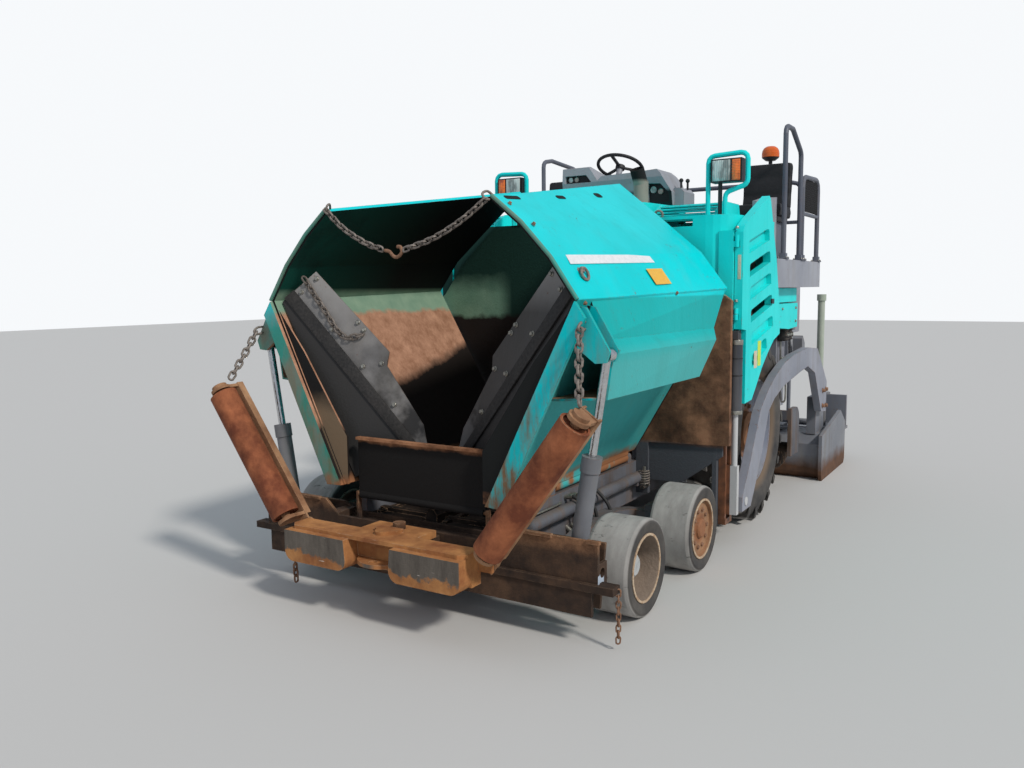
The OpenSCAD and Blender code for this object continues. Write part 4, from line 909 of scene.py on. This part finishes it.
# Chains: round steel links about 36 mm long. A slack one joined by a hook hangs between the
# roof edges, one on each side ties the push roller's arm up to the wing, one lies loose on
# the right corner plate, and short ends hang from the beam and the crossbar.
def link_piece(wire, pitch, steel):
    clear()
    width = wire * 1.25
    bpy.ops.mesh.primitive_torus_add(major_radius=width, minor_radius=wire / 2, major_segments=14,
        minor_segments=6)
    piece = bpy.context.object
    reach = max(0.0, (pitch + wire) / 2 - width)
    pick(piece, lambda place, normal: place.y > 0.0001, "VERT")
    bpy.ops.transform.translate(value=(0, reach, 0))
    bpy.ops.mesh.select_all(action="INVERT")
    bpy.ops.transform.translate(value=(0, -reach, 0))
    return settled(piece, "link", steel, 60)


def chain(name, corners, wire, pitch, body, steel=chain_steel):
    points = smooth_run(corners, 8)
    spans = [(b - a).length for a, b in zip(points, points[1:])]
    count = int(sum(spans) / pitch)
    places = []
    for k in range(count):
        want = (k + 0.5) * pitch
        i = 0
        while want > spans[i] and i < len(spans) - 1:
            want -= spans[i]
            i += 1
        way = (points[i + 1] - points[i]).normalized()
        turn = way.to_track_quat("Y", "Z").to_matrix().to_4x4()
        roll = Matrix.Rotation(pi / 2 * (k % 2) + 0.35, 4, "Y")
        places.append(Matrix.Translation(points[i] + way * want) @ turn @ roll)
    piece = repeated(link_piece(wire, pitch, steel), places)
    piece.name = name
    piece.data.name = name
    carry(piece, body)


chain("slack_chain_left", [(0.545, -2.7, 2.235), (0.4, -2.715, 2.135), (0.22, -2.722, 2.05),
    (0.02, -2.725, 1.995)], 0.012, 0.036, "wing_left")
chain("slack_chain_right", [(-0.56, -2.7, 2.245), (-0.42, -2.712, 2.135), (-0.25, -2.72, 2.045),
    (-0.11, -2.724, 2.0)], 0.012, 0.036, "wing_right")
for k, (x, way, body) in enumerate(((0.56, 1, "wing_left"), (-0.565, -1, "wing_right"))):
    bow = smooth_run([(x, -2.655, 2.252), (x - way * 0.02, -2.68, 2.275),
        (x - way * 0.03, -2.712, 2.262), (x - way * 0.018, -2.706, 2.235), (x, -2.69, 2.232)], 5)
    line_piece(f"chain_shackle_{k + 1}", bow, 0.013, chain_steel, body)
bend = smooth_run([(x, -2.724, z) for x, z in ((-0.105, 1.998), (-0.075, 1.992), (-0.045, 1.965),
    (-0.015, 1.962), (0.012, 1.985), (0.004, 2.012), (-0.018, 2.016))], 6)
line_piece("chain_hook", bend, 0.019, rusty_bolts, "wing_right", 4)
chain("arm_chain_left", [(1.081, -2.718, 1.59), (1.115, -2.79, 1.475), (1.17, -2.895, 1.33),
    (1.212, -2.968, 1.232)], 0.014, 0.042, "wing_left")
chain("arm_chain_right", [(-1.16, -2.716, 1.535), (-1.164, -2.775, 1.45), (-1.17, -2.865, 1.33),
    (-1.172, -2.93, 1.252)], 0.014, 0.042, "wing_right")
for k, (x, z, body) in enumerate(((1.081, 1.606, "wing_left"), (-1.16, 1.55, "wing_right"))):
    bow = smooth_run([(x, y, z + rise) for y, rise in ((-2.655, 0.016), (-2.7, 0.014), (-2.73, -0.006),
        (-2.716, -0.028), (-2.66, -0.02))], 5)
    line_piece(f"arm_shackle_{k + 1}", bow, 0.014, chain_steel, body)
chain("corner_chain", [mirror @ corner_frame @ Vector(p)
    for p in ((-0.02, 0.115, -0.016), (0.1, 0.1, -0.014), (0.24, 0.085, -0.014), (0.36, 0.07, -0.014),
        (0.44, 0.085, -0.014), (0.47, 0.13, -0.014), (0.5, 0.19, -0.014))], 0.013, 0.038, "wing_right")
chain("hanging_chain", [(1.252, -2.642, 0.31), (1.254, -2.644, 0.2), (1.252, -2.643, 0.035)], 0.009,
    0.03, "machine", rusty_bolts)
chain("crossbar_chain", [(-0.625, -2.965, 0.36), (-0.632, -2.968, 0.25), (-0.628, -2.966, 0.12)], 0.011,
    0.034, "crossbar", rusty_bolts)


# Lamps: black housings with a clear ribbed lens and an orange indicator in a dark frame, and
# an amber beacon dome on a pole behind the driver's seat.
def lens_finish(name, colour, ribs, direction):
    material, tree = new_material(name)
    bands = add(tree, "ShaderNodeTexWave", wave_type="BANDS", bands_direction=direction, Scale=ribs)
    link(add(tree, "ShaderNodeTexCoord").outputs["Object"], bands.inputs["Vector"])
    glints = patchy(tree, 0.4, 0.6, 22, (1, 1, 0.4), 3)
    tone = mixed(glints, [c * 0.55 for c in colour], [min(1, c * 1.7) for c in colour])
    tone = mixed(times(bands.outputs["Fac"], 0.25), tone, [c * 0.5 for c in colour])
    shader = finish(tree, tone, mixed(bands.outputs["Fac"], 0.1, 0.22), bands.outputs["Fac"], 0.0015,
        shine=0.6)
    shader.inputs["Coat Weight"].default_value = 0.6
    return material


clear_lens = lens_finish("clear_lens", (0.36, 0.42, 0.4), 22.0, "X")
orange_lens = lens_finish("orange_lens", (0.75, 0.12, 0.012), 30.0, "Z")
red_lens = lens_finish("red_lens", (0.45, 0.015, 0.012), 28.0, "Z")
lamp_z = 2.546
for side, start, way in (("left", 1.255, 1), ("right", -0.705, -1)):
    inner, split, outer = [start - way * reach for reach in (0.23, 0.102, 0.04)]
    for name, a, b, glass, crown in (("lens", inner, split - way * 0.006, clear_lens, 0.004),
            ("indicator", split + way * 0.006, outer, orange_lens, 0.0064)):
        piece = cube(((a + b) / 2, -0.704, lamp_z), (abs(b - a), 0.01, 0.136))
        pick_side(piece, (0, -1, 0))
        bpy.ops.mesh.inset(thickness=0.01, depth=0.004)
        bpy.ops.mesh.inset(thickness=0.018, depth=crown)
        carry(settled(piece, f"lamp_{name}_{side}", glass, bevel=0.003), "machine")
    bezel = cube(((inner + outer) / 2, -0.702, lamp_z), (abs(outer - inner) + 0.016, 0.012, 0.15))
    pick_side(bezel, (0, -1, 0))
    bpy.ops.mesh.inset(thickness=0.007, depth=0)
    bpy.ops.mesh.delete(type="FACE")
    pick_side(bezel, (0, 1, 0))
    bpy.ops.mesh.delete(type="FACE")
    modified(bezel, "SOLIDIFY", thickness=0.003)
    carry(settled(bezel, f"lamp_frame_{side}", black), "machine")

lamp_black, tree = new_material("lamp_black")
x, y, z = axes(tree)
amber = times(step(z, 2.866, 2.868), step(y, 1.0, 1.01))
glass = mixed(cloud(tree, 18, detail=3), (0.55, 0.075, 0.008), (0.8, 0.17, 0.02))
housing = mixed(cloud(tree, 20), (0.01, 0.01, 0.011), (0.03, 0.03, 0.032))
finish(tree, mixed(amber, housing, glass), mixed(amber, 0.5, 0.14), cloud(tree, 40), 0.0005, shine=0.5)
dress(["lamps"], lamp_black)


# Doors and hood: bare label patches, latch cups and hinge pins on the doors, two lifting
# eyes on the hood, and screws along the side boxes.
cream_film = plain("cream_film", (0.5, 0.42, 0.28), (0.72, 0.66, 0.52), (0.4, 0.7), 40)
lime_film = plain("lime_film", (0.45, 0.62, 0.03), (0.66, 0.8, 0.12), (0.4, 0.6), 30)


def box_of(low, high, fill=1.0):
    middle = [(a + b) / 2 for a, b in zip(low, high)]
    size = [b - a for a, b in zip(low, high)]
    return cube(middle, [s * fill for s in size]), middle, size


def wall_plate(name, low, high, material, body, slot, bevel=0.002):
    piece, middle, size = box_of(low, high)
    thin = size.index(min(size))
    pick(piece, lambda centre, normal: abs(normal[thin]) > 0.9)
    bpy.ops.mesh.inset(thickness=min(s for s in size if s > min(size)) * 0.08, depth=0.0006)
    carry(settled(piece, name, material, bevel=bevel), body)


def flipped(low, high, sign):
    if sign > 0:
        return low, high
    return (-high[0], *low[1:]), (-low[0], *high[1:])


patches = [("label", (1.216, -0.7268, 1.83), (1.238, -0.7246, 1.99), cream_film),
    ("label_low", (1.2494, -0.435, 1.215), (1.2516, -0.365, 1.335), cream_film),
    ("patch_low", (1.2494, -0.35, 1.225), (1.2516, -0.275, 1.4), lime_film)]
latch = ("latch", (1.244, -0.02, 1.655), (1.2525, 0.045, 1.69), black)
for side, sign in sides:
    body = f"louvre_door_{side}"
    for name, low, high, material in (patches if sign > 0 else []) + [latch]:
        wall_plate(f"door_{name}_{side}", *flipped(low, high, sign), material, body, "black_plastic",
            0.0)
    screws = [facing((sign * 1.1645, y, z), (sign, 0, 0), y * 9) for y, z in ((0.28, 1.6), (0.6, 1.6),
        (1.02, 1.6), (0.5, 1.5), (1.02, 1.49))]
    bolts(f"box_screws_{side}", 0.016, zinc, screws, "machine")
    pins = [facing((sign * 1.212, -0.737, z), (0, 0, 1)) for z in (1.681, 2.161)]
    bolts(f"door_pins_{side}", 0.02, zinc, pins, body)

for k, y in enumerate((-0.64, -0.2)):
    clear()
    bpy.ops.mesh.primitive_torus_add(major_radius=0.03, minor_radius=0.009, major_segments=24,
        minor_segments=8, location=(0.62, y, 2.284), rotation=(pi / 2, 0, 0))
    eye = settled(bpy.context.object, f"hood_eye_{k + 1}", chain_steel, 60)
    carry(eye, "machine")


# Levelling cylinders' trim: on each a bright gland collar, two clamp rings and an end cap.
collars = [("gland", 1.395, 1.428, 0.0445, zinc), ("ring_upper", 1.3, 1.307, 0.045, black),
    ("ring_lower", 1.185, 1.192, 0.045, black), ("cap", 0.925, 0.95, 0.046, zinc)]
for side, sign in sides:
    for name, low, high, r, material in collars:
        clear()
        bpy.ops.mesh.primitive_cylinder_add(vertices=40, radius=r, depth=high - low,
            location=(sign * 1.205, -0.69, (low + high) / 2))
        piece = settled(bpy.context.object, f"levelling_{name}_{side}", material, 30, 0.002)
        carry(piece, "machine")


# Operator's seats: black vinyl over foam, crowned, with a sewn channel across, on the
# platform's two seat boxes. Their pressed shells and boxes are dark painted sheet.
vinyl = plain("seat_vinyl", (0.008, 0.008, 0.009), (0.022, 0.022, 0.024), (0.42, 0.6), 12, 0.0006)
seam_v = 0.33


def cushion(name, low, high, turn, hinge, swell):
    piece, middle, size = box_of(low, high, 0.96)
    bpy.ops.object.mode_set(mode="EDIT")
    bpy.ops.mesh.select_all(action="SELECT")
    bpy.ops.mesh.subdivide(number_cuts=9)
    bpy.ops.object.mode_set(mode="OBJECT")
    thin = size.index(min(size))
    wide = [k for k in range(3) if k != thin]
    for corner in piece.data.vertices:
        place = [(corner.co[k] - middle[k]) / (size[k] * 0.48) for k in range(3)]
        u, v = place[wide[0]], place[wide[1]]
        corner.co[thin] += place[thin] * swell * (1 - u ** 4) * (1 - v ** 4)
        for k in wide:
            if abs(place[k]) > 0.9:
                corner.co[k] += 0.006 * (1 - abs(place[thin])) * (1 if place[k] > 0 else -1)
        if abs(abs(v) - seam_v) < 0.12:
            corner.co[thin] -= 0.009 * place[thin]
    modified(piece, "SUBSURF", levels=2, render_levels=2)
    centre = Matrix.Translation(hinge)
    piece.data.transform(centre @ Matrix.Rotation(turn, 4, "X") @ centre.inverted())
    carry(settled(piece, name, vinyl, 80), "machine")
    return piece


for side, sign in sides:
    x0, x1 = sorted((sign * 0.722, sign * 1.158))
    seat = cushion(f"seat_cushion_{side}", (x0, 0.52, 2.33), (x1, 0.86, 2.422), radians(-3),
        (0, 0.69, 2.376), 0.01)
    back = cushion(f"seat_back_{side}", (x0 + 0.02, 0.855, 2.4), (x1 - 0.02, 0.925, 2.79), radians(-8),
        (0, 0.89, 2.4), 0.008)
    wall_plate(f"seat_shell_{side}", (x0 + 0.03, 0.535, 2.29), (x1 - 0.03, 0.85, 2.335), black,
        "machine", "black_plastic", 0.012)
    wall_plate(f"seat_box_{side}", (x0 + 0.058, 0.55, 1.99), (x1 - 0.058, 0.85, 2.292), rail_paint,
        "machine", "black_plastic", 0.01)
    stay = smooth_run([(sign * 0.94, 0.84, 2.31), (sign * 0.94, 0.905, 2.36),
        (sign * 0.94, 0.935, 2.6)], 6)
    line_piece(f"seat_stays_{side}", stay, 0.04, rail_paint, "machine")
    if sign > 0:
        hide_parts("seats")
        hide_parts("seats")


# Rear hydraulics: cast valve blocks with spool caps under the platform on each side, and
# steel pipes beside them and in pairs along the frame.
cast_dark = rusty("cast_dark", (0.02, 0.02, 0.021), (0.075, 0.07, 0.066), 12.0, 0.5, 0.0015, 0.3)
cream_tube = paint("cream_tube", (0.34, 0.42, 0.33), (0.44, 0.46, 0.38), 0.7, 0.7)
valve_z = 1.375
for side, sign in sides:
    block = cube((1.085, 1.01, valve_z), (0.06, 0.22, 0.1))
    pick_side(block, (1, 0, 0))
    bpy.ops.mesh.subdivide(number_cuts=3)
    pick(block, lambda centre, normal: normal.x > 0.9 and abs(centre.z - valve_z) < 0.02)
    bpy.ops.mesh.inset(thickness=0.006, depth=0.016, use_individual=True)
    pick(block, lambda centre, normal: normal.x > 0.9 and abs(centre.z - valve_z) > 0.02)
    bpy.ops.mesh.inset(thickness=0.009, depth=0.01, use_individual=True)
    block = settled(block, f"valve_block_{side}", cast_dark, bevel=0.003)
    caps = repeated(bolt_head(f"valve_caps_{side}", 0.022, zinc),
        [facing((1.12, 0.93 + 0.053 * k, valve_z), (1, 0, 0), k) for k in range(4)])
    for piece in (block, caps):
        carry(on_side(piece, sign), "machine")
    for k, (y, z, reach) in enumerate(((0.93, 1.13, 0.009), (1.0, 0.98, 0.0135), (1.08, 0.86, 0.018))):
        way = smooth_run([(sign * x, y, z + rise) for x, rise in ((1.048, 0.19), (1.06 + reach, 0.19),
            (1.064 + reach, 0.12), (1.064 + reach, -0.05), (1.048, -0.07))], 5)
        tube = cream_tube if k == 1 else zinc
        line_piece(f"side_pipe_{side}_{k + 1}", way, 0.016, tube, "machine")
    for k, z in enumerate((0.5, 0.455)):
        way = smooth_run([(sign * x, y, z) for x, y in ((0.52, -2.3), (0.545, -2.29), (0.545, -2.24),
            (0.545, -1.95), (0.52, -1.93))], 4)
        line_piece(f"frame_pipe_{side}_{k + 1}", way, 0.014, zinc, "machine", 2)


# Coil spring beside the frame behind the first axle, round a guide rod on a cross seat.
coil_r, coil_turns, coil_y = 0.034, 6, -0.86
for side, sign in sides:
    x = sign * 0.62
    sweep = [2 * pi * coil_turns * k / 150 for k in range(151)]
    coil = [Vector((x + coil_r * cos(a), coil_y + coil_r * sin(a), 0.405 + 0.105 * a / sweep[-1]))
        for a in sweep]
    rod = [Vector((x, coil_y, z)) for z in (0.385, 0.4, 0.52, 0.535)]
    seat = [Vector((x, y, 0.392)) for y in (-0.797, -0.9)]
    line_piece(f"guide_spring_{side}", coil, 0.01, chain_steel, "machine", 2)
    line_piece(f"guide_rod_{side}", rod, 0.022, zinc, "machine")
    line_piece(f"guide_seat_{side}", seat, 0.03, cast_dark, "machine")


# Rail trim: dark wire mesh in the guard hoops, and bolted feet where the hoops meet the deck.
wire_dark = plain("wire_dark", (0.004, 0.004, 0.005), (0.018, 0.018, 0.02), (0.5, 0.8), 40)
hoop_x, deck_z = 1.19, 1.99
for side, sign, y0, y1, z0, z1 in (("left", 1, 1.08, 1.58, 2.4, 2.67),
        ("right", -1, 0.35, 0.8, 2.3, 2.555)):
    clear()
    bpy.ops.mesh.primitive_grid_add(x_subdivisions=15, y_subdivisions=24, size=1)
    panel = bpy.context.object
    for corner in panel.data.vertices:
        u, v = corner.co.x + 0.5, corner.co.y + 0.5
        corner.co = (sign * hoop_x, y0 + (y1 - y0) * v, z0 + (z1 - z0) * u)
    modified(panel, "WIREFRAME", thickness=0.007)
    carry(settled(panel, f"guard_mesh_{side}", wire_dark), "machine")
for side, sign, spots in (("left", 1, (0.5, 0.98, 1.06, 1.6)), ("right", -1, (0.33, 0.82, 0.9, 1.56))):
    foot = cube((0, 0, 0.006), (0.075, 0.075, 0.012))
    pick_side(foot, (0, 0, 1))
    bpy.ops.mesh.inset(thickness=0.012, depth=0)
    bpy.ops.mesh.extrude_region_move(TRANSFORM_OT_translate={"value": (0, 0, 0.035)})
    foot = settled(foot, f"rail_feet_{side}", rail_paint, bevel=0.003)
    feet = repeated(foot, [Matrix.Translation((sign * hoop_x, y, deck_z)) for y in spots])
    carry(feet, "machine")
    screws = [Matrix.Translation((sign * hoop_x + a, y + b, deck_z + 0.012)) for y in spots
        for a in (-0.03, 0.03) for b in (-0.03, 0.03)]
    bolts(f"rail_screws_{side}", 0.01, zinc, screws, "machine")


# Console trim: two dials in each recess of the console, and two short levers with knobs.
dials = [(0.285, 0.0715, 2.545, 0.026), (0.345, 0.0715, 2.53, 0.022), (-0.44, 0.0515, 2.67, 0.02),
    (-0.385, 0.0515, 2.67, 0.02)]
for k, (x, y, z, r) in enumerate(dials):
    clear()
    bpy.ops.mesh.primitive_cylinder_add(vertices=28, radius=r, depth=0.014, location=(x, y, z),
        rotation=(pi / 2, 0, 0))
    bpy.ops.object.transform_apply()
    dial = bpy.context.object
    pick_side(dial, (0, -1, 0))
    bpy.ops.mesh.inset(thickness=0.004, depth=-0.003)
    dial = settled(dial, f"console_dial_{k + 1}", zinc if k % 2 else clear_lens, bevel=0.001)
    carry(dial, "machine")
for k, x in enumerate((0.47, 0.5)):
    clear()
    bpy.ops.mesh.primitive_uv_sphere_add(segments=20, ring_count=12, radius=0.017,
        location=(x, 0.18 + 0.06 * k, 2.615))
    bpy.ops.object.transform_apply()
    knob = bpy.context.object
    pick_side(knob, (0, 0, -1), 0.8)
    bpy.ops.mesh.extrude_region_move(TRANSFORM_OT_translate={"value": (0, 0, -0.055)})
    knob = settled(knob, f"console_lever_{k + 1}", black, 50)
    carry(knob, "machine")


# Rear lights and arm bolts: a red and an amber light at each end of the tank's rear wall, and
# four rusty bolts on the end plate of each tow arm.
lights = [("tail", (0.832, 1.884, 1.65), (0.9, 1.892, 1.71), red_lens), ("turn", (0.905, 1.884, 1.65),
    (0.95, 1.892, 1.71), orange_lens)]
for side, sign in sides:
    for name, low, high, lens in lights:
        wall_plate(f"{name}_light_{side}", *flipped(low, high, sign), lens, "machine", "lamp")
    heads = [facing((sign * 1.2495, y, z), (sign, 0, 0), y * 5) for y, z in ((1.74, 0.69), (1.86, 0.68),
        (1.74, 0.83), (1.86, 0.83))]
    bolts(f"arm_bolts_{side}", 0.03, rusty_bolts, heads, "screed_frame")
